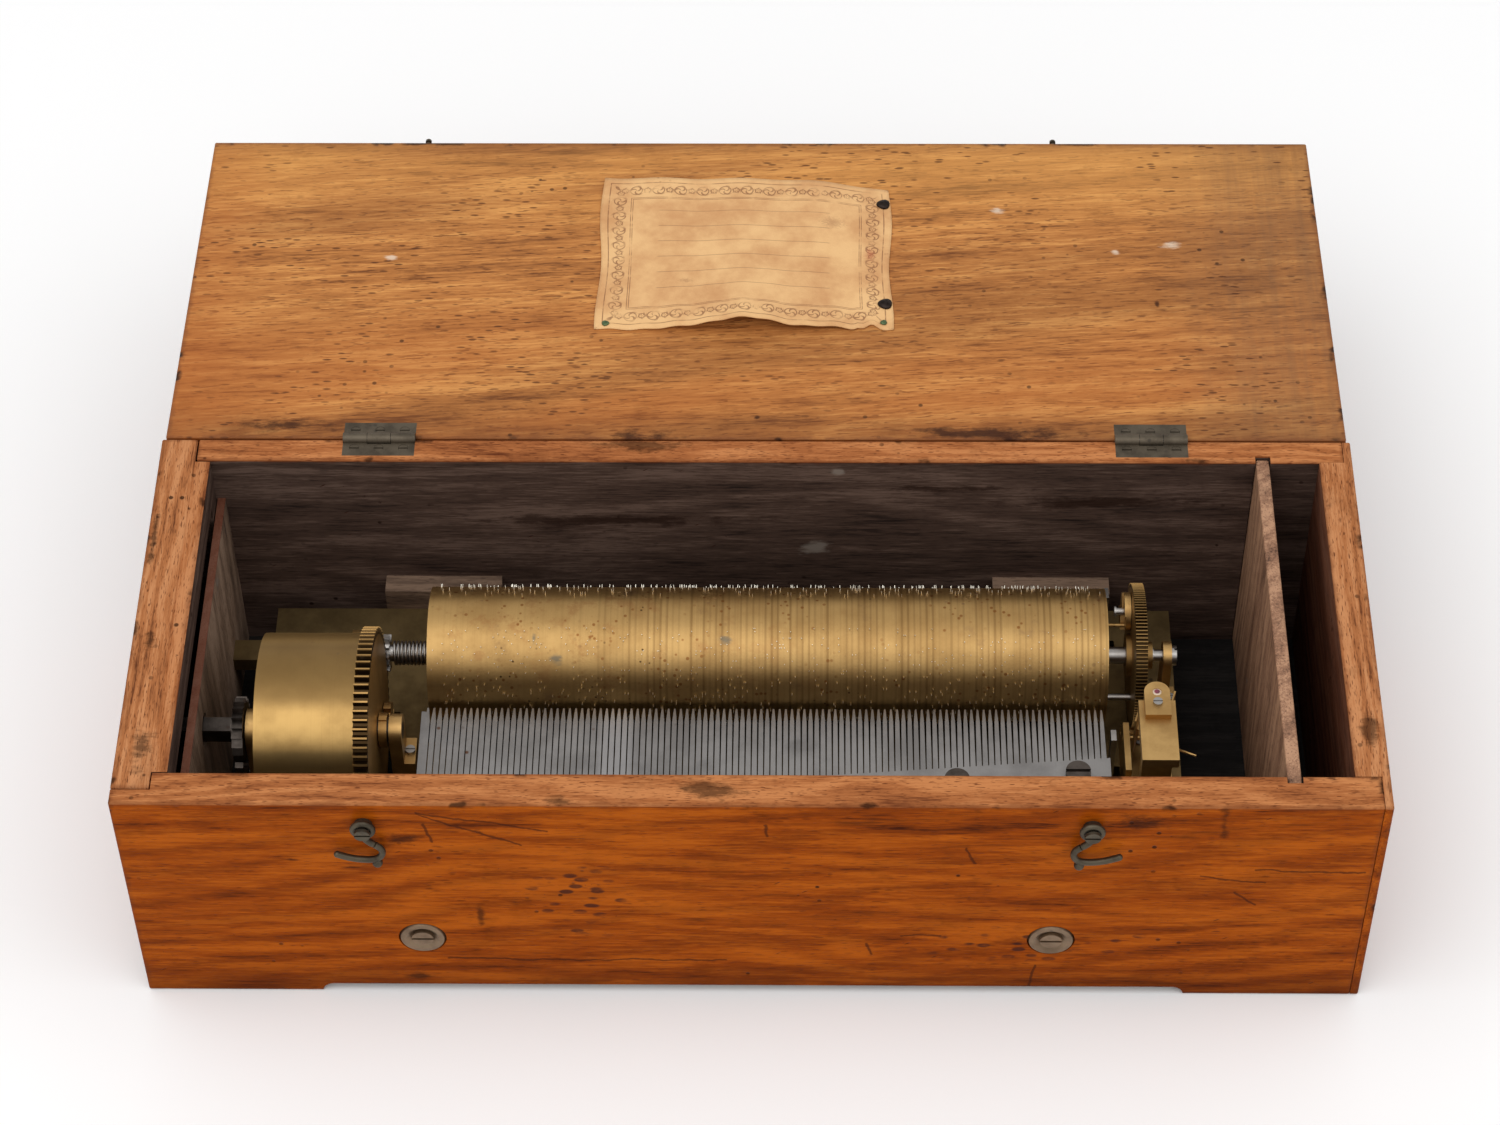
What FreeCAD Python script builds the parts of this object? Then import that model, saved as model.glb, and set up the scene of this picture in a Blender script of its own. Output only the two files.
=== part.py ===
import FreeCAD, Part
import Sketcher
import math
import os
import re

# Key-wound cylinder music box, lid open.
# Origin: centre of the case's footprint on the surface it stands on. +Z up, +Y to the back, +X to the right.

doc = FreeCAD.newDocument("MusicBox")
sheet = doc.addObject("Spreadsheet::Sheet", "Sizes")

SIZES = {
    # case
    "case_length": 362.0,
    "case_depth": 139.0,
    "case_height": 92.5,
    "front_wall": 11.2,
    "back_wall": 8.5,
    "right_wall": 10.0,
    "corner_lap": 2.5,
    "edge_round": 0.6,
    "foot_length": 56.0,
    "arch_rise": 3.6,
    "floor_height": 4.0,
    "floor_thick": 4.2,
    # end flap on the left
    "flap_thick": 15.5,
    "flap_tongue": 4.5,
    "flap_cover": 5.0,
    "flap_gap": 0.4,
    "flap_recess": 9.4,
    "flap_recess_floor": 14.0,
    "flap_recess_top": 80.0,
    "flap_recess_side": 9.0,
    "flap_pin_height": 9.0,
    "flap_pin_inset": 5.0,
    "flap_pin_radius": 1.5,
    "flap_ear_radius": 5.0,
    "flap_ear_thick": 3.5,
    # fixed left partition and lift-out right divider
    "partition_gap": 0.4,
    "partition_thick": 2.4,
    "partition_top": 75.0,
    "divider_inset": 15.0,
    "divider_thick": 4.0,
    "divider_drop": 1.2,
    "groove_depth": 2.5,
    "groove_gap": 0.3,
    # lid and its hinges
    "lid_length": 360.0,
    "lid_depth": 139.0,
    "lid_thick": 10.5,
    "lid_gap": 0.3,
    "lid_open": 183.0,
    "hinge_pin_out": 0.35,
    "hinge_pin_radius": 0.8,
    "knuckle_radius": 1.8,
    "knuckle_clear": 0.4,
    "leaf_thick": 1.2,
    "leaf_width": 6.6,
    "leaf_length": 22.0,
    "leaf_screw_pitch": 7.5,
    "leaf_screw_radius": 0.8,
    "leaf_screw_head": 1.45,
    "leaf_hole_radius": 1.5,
    "left_hinge_x": -114.6,
    "right_hinge_x": 120.6,
    # tune card inside the lid
    "card_x": -4.0,
    "card_length": 93.0,
    "card_depth": 72.0,
    "card_inset": 18.5,
    "card_thick": 0.35,
    "tack_radius": 0.5,
    # lid hooks
    "left_hook_x": -109.6,
    "right_hook_x": 96.8,
    "hook_drop": 9.0,
    "hook_wire": 1.0,
    "hook_ring": 2.9,
    "catch_rise": 2.5,
    "catch_head": 1.0,
    # bedplate and what holds it
    "bed_top": 30.0,
    "bed_thick": 5.0,
    "bed_left_inset": 30.6,
    "bed_right_over": 23.6,
    "bed_back_gap": 6.5,
    "block_top": 38.4,
    "block_bottom": 20.0,
    "block_length": 36.4,
    "left_block_x": -97.9,
    "right_block_x": 92.4,
    "washer_radius": 7.0,
    "washer_thick": 1.6,
    "left_screw_x": -96.8,
    "right_screw_x": 87.9,
    "bed_screw_radius": 2.0,
    "bed_screw_depth": 12.0,
    # cylinder
    "cylinder_inset": 83.5,
    "cylinder_length": 203.5,
    "cylinder_radius": 20.2,
    "cylinder_wall": 1.2,
    "cylinder_setback": 44.1,
    "cylinder_rise": 24.0,
    "cap_thick": 2.5,
    "arbor_radius": 2.6,
    "arbor_end_radius": 1.8,
    "running_gap": 0.05,
    "drive_pin_radius": 1.05,
    # comb
    "tooth_count": 110,
    "tooth_pitch": 1.85,
    "tooth_saw": 0.32,
    "tooth_tip": 0.5,
    "tooth_point": 5.0,
    "tooth_thick": 0.9,
    "treble_length": 18.0,
    "bass_length": 34.9,
    "pin_height": 1.0,
    "pin_gap": 0.35,
    "comb_depth": 48.0,
    "comb_heel": 2.6,
    "comb_screw_pitch": 35.8,
    "comb_screw_back": 5.6,
    "comb_screw_head": 3.7,
    "comb_screw_shank": 2.2,
    # spring barrel
    "gear_module": 0.8314,
    "barrel_teeth": 72,
    "pinion_teeth": 12,
    "barrel_rise": 6.0,
    "barrel_length": 29.0,
    "barrel_wall": 2.0,
    "spring_thick": 0.5,
    "barrel_gear_width": 4.3,
    "barrel_gear_step": 5.2,
    "barrel_arbor_radius": 4.0,
    "barrel_neck_radius": 2.6,
    "small_screw": 0.8,
    "finger_radius": 5.2,
    "finger_reach": 5.7,
    "cross_distance": 13.2,
    "cross_radius": 6.8,
    "cross_stud": 1.3,
    "winding_square": 5.2,
    "winding_reach": 8.0,
    "ratchet_teeth": 20,
    "ratchet_radius": 9.8,
    "ratchet_thick": 3.2,
    "click_lift": 6.5,
    "click_thick": 2.4,
    "bridge_thick": 2.4,
    "right_bridge_thick": 3.8,
    # great wheel and governor
    "great_teeth": 120,
    "great_module": 0.36,
    "great_width": 3.5,
    "great_gap": 8.0,
    "hub_radius": 6.6,
    "first_leaves": 10,
    "first_wheel_teeth": 50,
    "second_leaves": 8,
    "second_wheel_teeth": 40,
    "fine_module": 0.28,
    "fine_arbor_radius": 0.7,
    "endless_arbor_radius": 0.6,
    "train_angle": 222.0,
    "endless_radius": 1.5,
    "fly_arm": 6.0,
    "fly_blade": 6.0,
    "fly_height": 15.0,
    "governor_top": 72.5,
    # tune change
    "tune_step": 0.47,
    "star_distance": 13.4,
    "star_radius": 5.8,
    "star_gap": 0.25,
    "stud_radius": 1.2,
    "follower_reach": 4.2,
    "follower_radius": 0.6,
    "step_lead": 12.0,
    "slide_clear": 0.14,
}

for row, (word, number) in enumerate(SIZES.items(), start=1):
    sheet.set(f"A{row}", word)
    sheet.set(f"B{row}", str(number))
    sheet.setAlias(f"B{row}", word)
doc.recompute()

SIDES = ("left", "right")
rules = {}


def expand(text):
    """Turn size words and rule words into an expression that reads the sheet."""
    def swap(match):
        word = match.group(0)
        if word in rules:
            return rules[word]
        return "Sizes." + word if word in SIZES else word
    return re.sub(r"[a-z][a-z_0-9]*", swap, str(text))


def rule(word, text):
    rules[word] = "(" + expand(text) + ")"


def value(text):
    found = sheet.evalExpression(expand(text))
    return float(getattr(found, "Value", found))


def vector(*texts):
    return FreeCAD.Vector(*[value(text) for text in texts])


# ---- places worked out from the sizes ----
rule("case_left", "-case_length / 2")
rule("case_right", "case_length / 2")
rule("case_front", "-case_depth / 2")
rule("case_back", "case_depth / 2")
rule("inner_front", "case_front + front_wall")
rule("inner_back", "case_back - back_wall")
rule("inner_right", "case_right - right_wall")
rule("flap_inner", "case_left + flap_thick")
rule("flap_step", "flap_inner - flap_tongue")
rule("floor_top", "floor_height + floor_thick")
rule("flap_pin_x", "case_left + flap_pin_inset")
rule("partition_left", "flap_inner + partition_gap")
rule("partition_right", "partition_left + partition_thick")
rule("divider_right", "inner_right - divider_inset")
rule("divider_left", "divider_right - divider_thick")
rule("hinge_y", "case_back + hinge_pin_out")
rule("hinge_z", "case_height + lid_gap / 2")
rule("leaf_screw_y", "hinge_y - hinge_pin_out - leaf_width * 0.52")
rule("lid_bottom", "case_height + lid_gap")
rule("lid_top", "lid_bottom + lid_thick")
rule("lid_front", "case_back - lid_depth")
rule("card_left", "card_x - card_length / 2")
rule("card_right", "card_x + card_length / 2")
rule("card_far", "lid_front + card_inset")
rule("card_near", "card_far + card_depth")
rule("bed_bottom", "bed_top - bed_thick")
rule("bed_back", "inner_back - bed_back_gap")
rule("bed_middle", "bed_top - bed_thick / 2")
rule("cylinder_y", "inner_back - cylinder_setback")
rule("cylinder_z", "bed_top + cylinder_rise")
rule("cylinder_left", "case_left + cylinder_inset")
rule("cylinder_right", "cylinder_left + cylinder_length")
rule("bed_left", "case_left + bed_left_inset")
rule("bed_right", "cylinder_right + bed_right_over")
rule("tip_y", "cylinder_y - cylinder_radius - pin_height - pin_gap")
rule("comb_front", "tip_y - comb_depth")
rule("comb_span", "tooth_count * tooth_pitch")
rule("comb_left", "cylinder_left - tooth_pitch")
rule("comb_right", "comb_left + comb_span + tooth_pitch")
rule("comb_top", "cylinder_z + tooth_thick / 2")
rule("comb_under", "comb_top - comb_heel")
rule("barrel_gear_pitch", "gear_module * barrel_teeth / 2")
rule("barrel_gear_tip", "barrel_gear_pitch + gear_module")
rule("barrel_radius", "barrel_gear_pitch - gear_module * 1.35")
rule("gear_distance", "gear_module * (barrel_teeth + pinion_teeth) / 2")
rule("barrel_y", "cylinder_y - sqrt(gear_distance ^ 2 - barrel_rise ^ 2)")
rule("barrel_z", "cylinder_z + barrel_rise")
rule("gear_right", "cylinder_left - 13.5")
rule("gear_left", "gear_right - barrel_gear_width")
rule("barrel_left", "gear_left - barrel_length")
rule("great_left", "cylinder_right + great_gap")
rule("great_right", "great_left + great_width")
rule("great_pitch", "great_module * great_teeth / 2")
rule("first_distance", "great_module * (great_teeth + first_leaves) / 2")
rule("first_y", "cylinder_y + first_distance * cos(train_angle)")
rule("first_z", "cylinder_z + first_distance * sin(train_angle)")
rule("second_distance", "fine_module * (first_wheel_teeth + second_leaves) / 2")
rule("endless_y", "first_y - 13.2")
rule("second_y", "endless_y + fine_module * second_wheel_teeth / 2 + endless_radius")
rule("second_z", "first_z + sqrt(second_distance ^ 2 - (first_y - second_y) ^ 2)")
rule("endless_x", "great_right + 1.4")
rule("right_bearing_left", "great_right + 6.2")
rule("right_bearing_right", "right_bearing_left + 2.6")
rule("star_y", "cylinder_y + star_distance * cos(45)")
rule("star_z", "cylinder_z + star_distance * sin(45)")

AXES = {
    "x": FreeCAD.Rotation(FreeCAD.Vector(0, 1, 0), 90),
    "y": FreeCAD.Rotation(FreeCAD.Vector(1, 0, 0), -90),
    "z": FreeCAD.Rotation(),
}
pieces = []


def bind(thing, **links):
    for prop, text in links.items():
        thing.setExpression(prop.replace("__", "."), expand(text))
    return thing


def box(name, x_range, y_range, z_range):
    made = doc.addObject("Part::Box", name)
    for side, start, span in (("Length", "x", x_range), ("Width", "y", y_range), ("Height", "z", z_range)):
        made.setExpression(side, expand(f"({span[1]}) - ({span[0]})"))
        made.setExpression("Placement.Base." + start, expand(span[0]))
    return made


def rod(name, axis, start, length, radius):
    made = doc.addObject("Part::Cylinder", name)
    made.Placement = FreeCAD.Placement(FreeCAD.Vector(), AXES[axis])
    return bind(
        made,
        Radius=radius,
        Height=length,
        Placement__Base__x=start[0],
        Placement__Base__y=start[1],
        Placement__Base__z=start[2],
    )


def cone(name, axis, start, length, first_radius, last_radius):
    made = doc.addObject("Part::Cone", name)
    made.Placement = FreeCAD.Placement(FreeCAD.Vector(), AXES[axis])
    return bind(
        made,
        Radius1=first_radius,
        Radius2=last_radius,
        Height=length,
        Placement__Base__x=start[0],
        Placement__Base__y=start[1],
        Placement__Base__z=start[2],
    )


def fuse(name, parts):
    made = doc.addObject("Part::MultiFuse", name)
    made.Shapes = parts
    return made


def cut(name, base, tools):
    made = doc.addObject("Part::Cut", name)
    made.Base = base
    made.Tool = tools[0] if len(tools) == 1 else fuse(name + "_tools", tools)
    return made


def group(name, parts):
    made = doc.addObject("Part::Compound", name)
    made.Links = parts
    return made


def plain(name, shape):
    made = doc.addObject("Part::Feature", name)
    made.Shape = shape
    return made


def rounded(name, base):
    """All twelve edges of a box broken by the same small radius."""
    made = doc.addObject("Part::Fillet", name)
    made.Base = base
    made.Edges = [(edge, value("edge_round"), value("edge_round")) for edge in range(1, 13)]
    return made


def piece(label, made):
    made.Label = label
    pieces.append(made)
    return made


def opened(made):
    """Swing a piece of the closed lid back about the hinge pins."""
    made.setExpression(
        "Placement",
        "placement(vector(0; 0; 0); rotation(vector(1; 0; 0); " + expand("-lid_open")
        + "); vector(0; " + expand("hinge_y") + "; " + expand("hinge_z") + "))",
    )
    return made


def shift(point, axis, amount):
    """The same point moved along one axis."""
    return tuple(f"({word}) + ({amount})" if side == axis else word for side, word in zip("xyz", point))


def screw(name, axis, seat, shank_length, shank, head, head_height, slot=0.7, facing=-1):
    """A slotted screw with its head seated at the given point. The head looks back along the axis,
    or on along it where facing is 1, and the shank runs the other way."""
    slot_depth = f"({head_height}) * 0.45"
    if facing > 0:
        head_start = seat
        shank_start = shift(seat, axis, f"-({shank_length})")
        slot_start = shift(seat, axis, f"({head_height}) - ({slot_depth})")
    else:
        head_start = shift(seat, axis, f"-({head_height})")
        shank_start = seat
        slot_start = shift(head_start, axis, "-0.01")
    slot_side = "z" if axis == "x" else "x"
    spans = []
    for side, word in zip("xyz", slot_start):
        if side == axis:
            spans.append((word, f"({word}) + ({slot_depth}) + 0.01"))
        else:
            reach = f"({head}) + 1" if side == slot_side else f"{slot} / 2"
            spans.append((f"({word}) - ({reach})", f"({word}) + ({reach})"))
    whole = fuse(name + "_whole", [
        rod(name + "_head", axis, head_start, head_height, head),
        rod(name + "_shank", axis, shank_start, shank_length, shank),
    ])
    return cut(name, whole, [box(name + "_slot", *spans)])


def origin_plane(body, role):
    return next(item for item in body.Origin.OriginFeatures if item.Role == role)


def toothed(name, teeth, module, width, bore, start, turn, depth=1.25, gap_share=0.56):
    """A spur wheel or pinion: a disc, one tooth gap cut through it and the gap repeated round the axis."""
    body = doc.addObject("PartDesign::Body", name)
    disc = body.newObject("Sketcher::SketchObject", name + "_disc")
    disc.AttachmentSupport = [(origin_plane(body, "YZ_Plane"), "")]
    disc.MapMode = "FlatFace"
    centre = FreeCAD.Vector()
    for label, radius in (("outer", f"({module}) * (({teeth}) + 2) / 2"), ("bore", bore)):
        ring = disc.addGeometry(Part.Circle(centre, FreeCAD.Vector(0, 0, 1), value(radius)), False)
        disc.addConstraint(Sketcher.Constraint("Coincident", ring, 3, -1, 1))
        held = disc.addConstraint(Sketcher.Constraint("Radius", ring, value(radius)))
        disc.renameConstraint(held, label)
        disc.setExpression("Constraints." + label, expand(radius))
    pad = body.newObject("PartDesign::Pad", name + "_pad")
    pad.Profile = disc
    pad.setExpression("Length", expand(width))
    gap = body.newObject("Sketcher::SketchObject", name + "_gap")
    gap.AttachmentSupport = [(origin_plane(body, "YZ_Plane"), "")]
    gap.MapMode = "FlatFace"
    slope = math.tan(math.radians(20))
    pitch_gap = f"({module}) * pi * {gap_share}"
    low_width = f"{pitch_gap} - ({module}) * {2 * depth * slope}"
    high_width = f"{pitch_gap} + ({module}) * {4 * slope}"
    low = f"({module}) * (({teeth}) / 2 - {depth})"
    high = f"({module}) * (({teeth}) / 2 + 2)"
    corners = [(-value(low_width) / 2, value(low)), (value(low_width) / 2, value(low)),
               (value(high_width) / 2, value(high)), (-value(high_width) / 2, value(high))]
    points = [FreeCAD.Vector(across, up, 0) for across, up in corners]
    lines = [gap.addGeometry(Part.LineSegment(points[n], points[(n + 1) % 4]), False) for n in range(4)]
    for n in range(4):
        gap.addConstraint(Sketcher.Constraint("Coincident", lines[n], 2, lines[(n + 1) % 4], 1))
    gap.addConstraint(Sketcher.Constraint("Symmetric", lines[0], 1, lines[0], 2, -2))
    gap.addConstraint(Sketcher.Constraint("Symmetric", lines[2], 2, lines[2], 1, -2))
    measures = (
        ("low_width", Sketcher.Constraint("DistanceX", lines[0], 1, lines[0], 2, value(low_width)),
         low_width),
        ("high_width", Sketcher.Constraint("DistanceX", lines[2], 2, lines[2], 1, value(high_width)),
         high_width),
        ("low", Sketcher.Constraint("DistanceY", -1, 1, lines[0], 2, value(low)), low),
        ("high", Sketcher.Constraint("DistanceY", -1, 1, lines[2], 1, value(high)), high),
    )
    for label, constraint, text in measures:
        gap.renameConstraint(gap.addConstraint(constraint), label)
        gap.setExpression("Constraints." + label, expand(text))
    notch = body.newObject("PartDesign::Pocket", name + "_notch")
    notch.Profile = gap
    notch.Type = 1
    notch.Reversed = True
    doc.recompute()
    if pad.Shape.Volume - notch.Shape.Volume < 1e-6:
        raise RuntimeError(name + ": the tooth gap cuts nothing")
    ring = body.newObject("PartDesign::PolarPattern", name + "_teeth")
    ring.Originals = [notch]
    ring.Axis = (next(item for item in body.Origin.OriginFeatures if item.Role == "X_Axis"), [""])
    ring.Angle = 360
    ring.setExpression("Occurrences", expand(teeth))
    body.Tip = ring
    body.setExpression(
        "Placement",
        "placement(vector(" + "; ".join(expand(text) for text in start) + "); rotation(vector(1; 0; 0); "
        + expand(turn) + "))",
    )
    return body


# ---- case ----
def arch(name, y_range):
    """The low arch under a board, with quarter-round ends beside the feet."""
    ends = ["case_left + foot_length", "case_right - foot_length"]
    tools = [box(name, (ends[0], ends[1]), y_range, ("-1", "arch_rise"))]
    for side, x in zip(SIDES, ends):
        tools.append(rod(f"{name}_{side}", "y", (x, y_range[0], "0"), f"({y_range[1]}) - ({y_range[0]})",
                         "arch_rise"))
    return tools


front_board = rounded("front_round", box("front_board", ("case_left", "case_right - corner_lap"),
                                         ("case_front", "inner_front"), ("0", "case_height")))
front_cuts = arch("front_arch", ("case_front - 1", "inner_front + 1"))
front_cuts.append(box("front_flap_rebate", ("case_left - 1", "flap_step + flap_gap"),
                      ("case_front + flap_cover", "inner_front + 1"), ("-1", "case_height + 1")))
front_cuts.append(box("front_divider_groove", ("divider_left - groove_gap", "divider_right + groove_gap"),
                      ("inner_front - groove_depth", "inner_front + 1"), ("floor_top", "case_height + 1")))
front_cuts.append(rod("front_flap_pin_hole", "y", ("flap_pin_x", "case_front + 1", "flap_pin_height"),
                      "flap_cover", "flap_pin_radius"))
for side in SIDES:
    front_cuts.append(rod(f"front_washer_seat_{side}", "y",
                          (f"{side}_screw_x", "case_front - 1", "bed_middle"),
                          "washer_thick + 1 - 0.3", "washer_radius + 0.05"))
    front_cuts.append(rod(f"front_screw_hole_{side}", "y", (f"{side}_screw_x", "case_front", "bed_middle"),
                          "front_wall + 1", "bed_screw_radius + 0.3"))
    front_cuts.append(rod(f"front_hook_hole_{side}", "y",
                          (f"{side}_hook_x", "case_front - 1", "case_height - hook_drop"),
                          "8", "1.0"))
piece("front_panel", cut("front_panel_cut", front_board, front_cuts))

back_board = rounded("back_round", box("back_board", ("flap_step + flap_gap", "case_right - corner_lap"),
                                       ("inner_back", "case_back"), ("0", "case_height")))
ear = fuse("back_ear", [
    rod("back_ear_round", "y", ("flap_pin_x", "case_back - flap_ear_thick", "flap_pin_height"),
        "flap_ear_thick", "flap_ear_radius"),
    box("back_ear_neck", ("flap_pin_x", "flap_step + flap_gap + 2"),
        ("case_back - flap_ear_thick", "case_back"),
        ("flap_pin_height - flap_ear_radius", "flap_pin_height")),
])
back_cuts = arch("back_arch", ("inner_back - 1", "case_back + 1"))
back_cuts.append(box("back_divider_groove", ("divider_left - groove_gap", "divider_right + groove_gap"),
                     ("inner_back - 1", "inner_back + groove_depth"), ("floor_top", "case_height + 1")))
back_cuts.append(rod("back_flap_pin_hole", "y",
                     ("flap_pin_x", "case_back - flap_ear_thick - 1", "flap_pin_height"),
                     "flap_ear_thick", "flap_pin_radius"))
for side in SIDES:
    low_x = f"{side}_hinge_x - leaf_length / 2"
    high_x = f"{side}_hinge_x + leaf_length / 2"
    back_cuts.append(box(f"back_leaf_seat_{side}", (low_x, high_x),
                         ("hinge_y - leaf_width - hinge_pin_out", "case_back + 1"),
                         ("case_height - leaf_thick", "case_height + 1")))
    back_cuts.append(rod(f"back_knuckle_seat_{side}", "x", (low_x, "hinge_y", "hinge_z"), "leaf_length",
                         "knuckle_radius + knuckle_clear"))
    for n in (-1, 0, 1):
        back_cuts.append(rod(f"back_leaf_screw_hole_{side}_{n + 1}", "z",
                             (f"{side}_hinge_x + {n} * leaf_screw_pitch", "leaf_screw_y",
                              "case_height - 8"), "9", "leaf_screw_radius"))
piece("back_panel", cut("back_panel_cut", fuse("back_whole", [back_board, ear]), back_cuts))

right_board = rounded("right_round",
                      box("right_board", ("inner_right", "case_right"), ("case_front", "case_back"),
                                         ("0", "case_height")))
right_cuts = [
    box("right_front_rebate", ("inner_right - 1", "case_right - corner_lap"),
        ("case_front - 1", "inner_front"),
        ("-1", "case_height + 1")),
    box("right_back_rebate", ("inner_right - 1", "case_right - corner_lap"), ("inner_back", "case_back + 1"),
        ("-1", "case_height + 1")),
]
piece("right_panel", cut("right_panel_cut", right_board, right_cuts))

piece("bottom_board",
      box("bottom_board_box", ("flap_step + 2.2", "inner_right"), ("inner_front", "inner_back"),
                          ("floor_height", "floor_top")))

# ---- end flap, hinged at its foot ----
flap_outer = rounded("flap_round", box("flap_outer", ("case_left", "flap_step"),
                                       ("case_front + flap_cover + flap_gap", "case_back"),
                                       ("floor_height", "case_height")))
flap_inside = box("flap_inside", ("flap_step - 1", "flap_inner"),
                  ("inner_front + flap_gap", "inner_back - flap_gap"),
                  ("flap_recess_floor", "case_height - 0.4"))
flap_cuts = [
    box("flap_hollow", ("flap_inner - flap_recess", "flap_inner + 1"),
        ("inner_front + flap_recess_side", "inner_back - flap_recess_side"),
        ("flap_recess_floor", "flap_recess_top")),
    cut("flap_corner_waste",
        box("flap_corner", ("flap_pin_x", "flap_step + 1"), ("case_front", "case_back + 1"),
                                 ("floor_height - 1", "flap_pin_height")),
        [rod("flap_corner_round", "y", ("flap_pin_x", "case_front - 1", "flap_pin_height"), "case_depth + 3",
             "flap_step - flap_pin_x")]),
    rod("flap_ear_seat", "y", ("flap_pin_x", "case_back - flap_ear_thick - flap_gap", "flap_pin_height"),
        "flap_ear_thick + 2", "flap_ear_radius + 0.9"),
    box("flap_ear_room", ("flap_pin_x - flap_ear_radius - 2", "flap_step + 1"),
        ("case_back - flap_ear_thick - flap_gap", "case_back + 1"), ("floor_height - 1", "flap_pin_height")),
    rod("flap_pin_bore", "y", ("flap_pin_x", "case_front + flap_cover - 1", "flap_pin_height"), "11.5",
        "flap_pin_radius + running_gap"),
    rod("flap_pin_bore_back", "y", ("flap_pin_x", "case_back - flap_ear_thick - 10", "flap_pin_height"),
        "11",
        "flap_pin_radius + running_gap"),
]
piece("end_flap", cut("end_flap_cut", fuse("flap_whole", [flap_outer, flap_inside]), flap_cuts))
flap_pins = [
    rod("flap_pin_front", "y", ("flap_pin_x", "case_front + 1", "flap_pin_height"), "13", "flap_pin_radius"),
    rod("flap_pin_back", "y", ("flap_pin_x", "case_back - 1 - 12", "flap_pin_height"), "12",
        "flap_pin_radius"),
]

# ---- left partition with holes for the winding square and the two sliders ----
rule("stop_y", "tip_y - 6")
rule("change_y", "cylinder_y + 23")
rule("slider_bottom", "bed_bottom - 4.5")
partition_cuts = [
    rod("partition_arbor_hole", "x", ("partition_left - 1", "barrel_y", "barrel_z"), "partition_thick + 2",
        "barrel_arbor_radius + 1"),
    box("partition_bed_notch", ("partition_left - 1", "partition_right + 1"),
        ("bed_back - 21", "bed_back - 12.8"),
        ("bed_bottom - 0.2", "bed_top + 0.2")),
]
for word in ("stop", "change"):
    partition_cuts.append(box(f"partition_{word}_slot", ("partition_left - 1", "partition_right + 1"),
                              (f"{word}_y - 2.4", f"{word}_y + 2.4"),
                              ("slider_bottom - 0.4", "slider_bottom + 3.4")))
piece("left_partition",
      cut("left_partition_cut", box("partition_board", ("partition_left", "partition_right"),
                                                      ("inner_front", "inner_back"),
                                                      ("floor_top", "partition_top")),
                            partition_cuts))
piece("divider_board", rounded("divider_round", box("divider_plain", ("divider_left", "divider_right"), (
    "inner_front - groove_depth + groove_gap", "inner_back + groove_depth - groove_gap"),
    ("floor_top + 0.2", "case_height - divider_drop"))))

# ---- lid, drawn closed and swung open about its hinge pins ----
lid_board = rounded("lid_round",
                    box("lid_plain", ("-lid_length / 2", "lid_length / 2"), ("lid_front", "case_back"),
                                     ("lid_bottom", "lid_top")))
lid_cuts = []
for side in SIDES:
    low_x = f"{side}_hinge_x - leaf_length / 2"
    high_x = f"{side}_hinge_x + leaf_length / 2"
    lid_cuts.append(box(f"lid_leaf_seat_{side}", (low_x, high_x),
                        ("hinge_y - leaf_width - hinge_pin_out", "case_back + 1"),
                        ("lid_bottom - 1", "lid_bottom + leaf_thick")))
    lid_cuts.append(rod(f"lid_knuckle_seat_{side}", "x", (low_x, "hinge_y", "hinge_z"), "leaf_length",
                        "knuckle_radius + knuckle_clear"))
    for n in (-1, 0, 1):
        lid_cuts.append(rod(f"lid_leaf_screw_hole_{side}_{n + 1}", "z",
                            (f"{side}_hinge_x + {n} * leaf_screw_pitch", "leaf_screw_y",
                             "lid_bottom"), "8", "leaf_screw_radius"))
    lid_cuts.append(rod(f"lid_catch_hole_{side}", "y",
                        (f"{side}_hook_x", "lid_front - 1", "lid_bottom + catch_rise"),
                        "7", "0.6"))
card_tack_places = (("card_right - 2.0", "card_far + 13.0"), ("card_right - 2.0", "card_near - 11.5"),
                    ("card_right - 2.6", "card_near - 3.0"), ("card_left + 3.0", "card_near - 2.4"))
for n, (x, y) in enumerate(card_tack_places):
    lid_cuts.append(rod(f"lid_tack_hole_{n}", "z", (x, y, "lid_bottom - 1"), "4.6", "tack_radius"))
piece("lid_board", opened(cut("lid_board_cut", lid_board, lid_cuts)))


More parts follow.
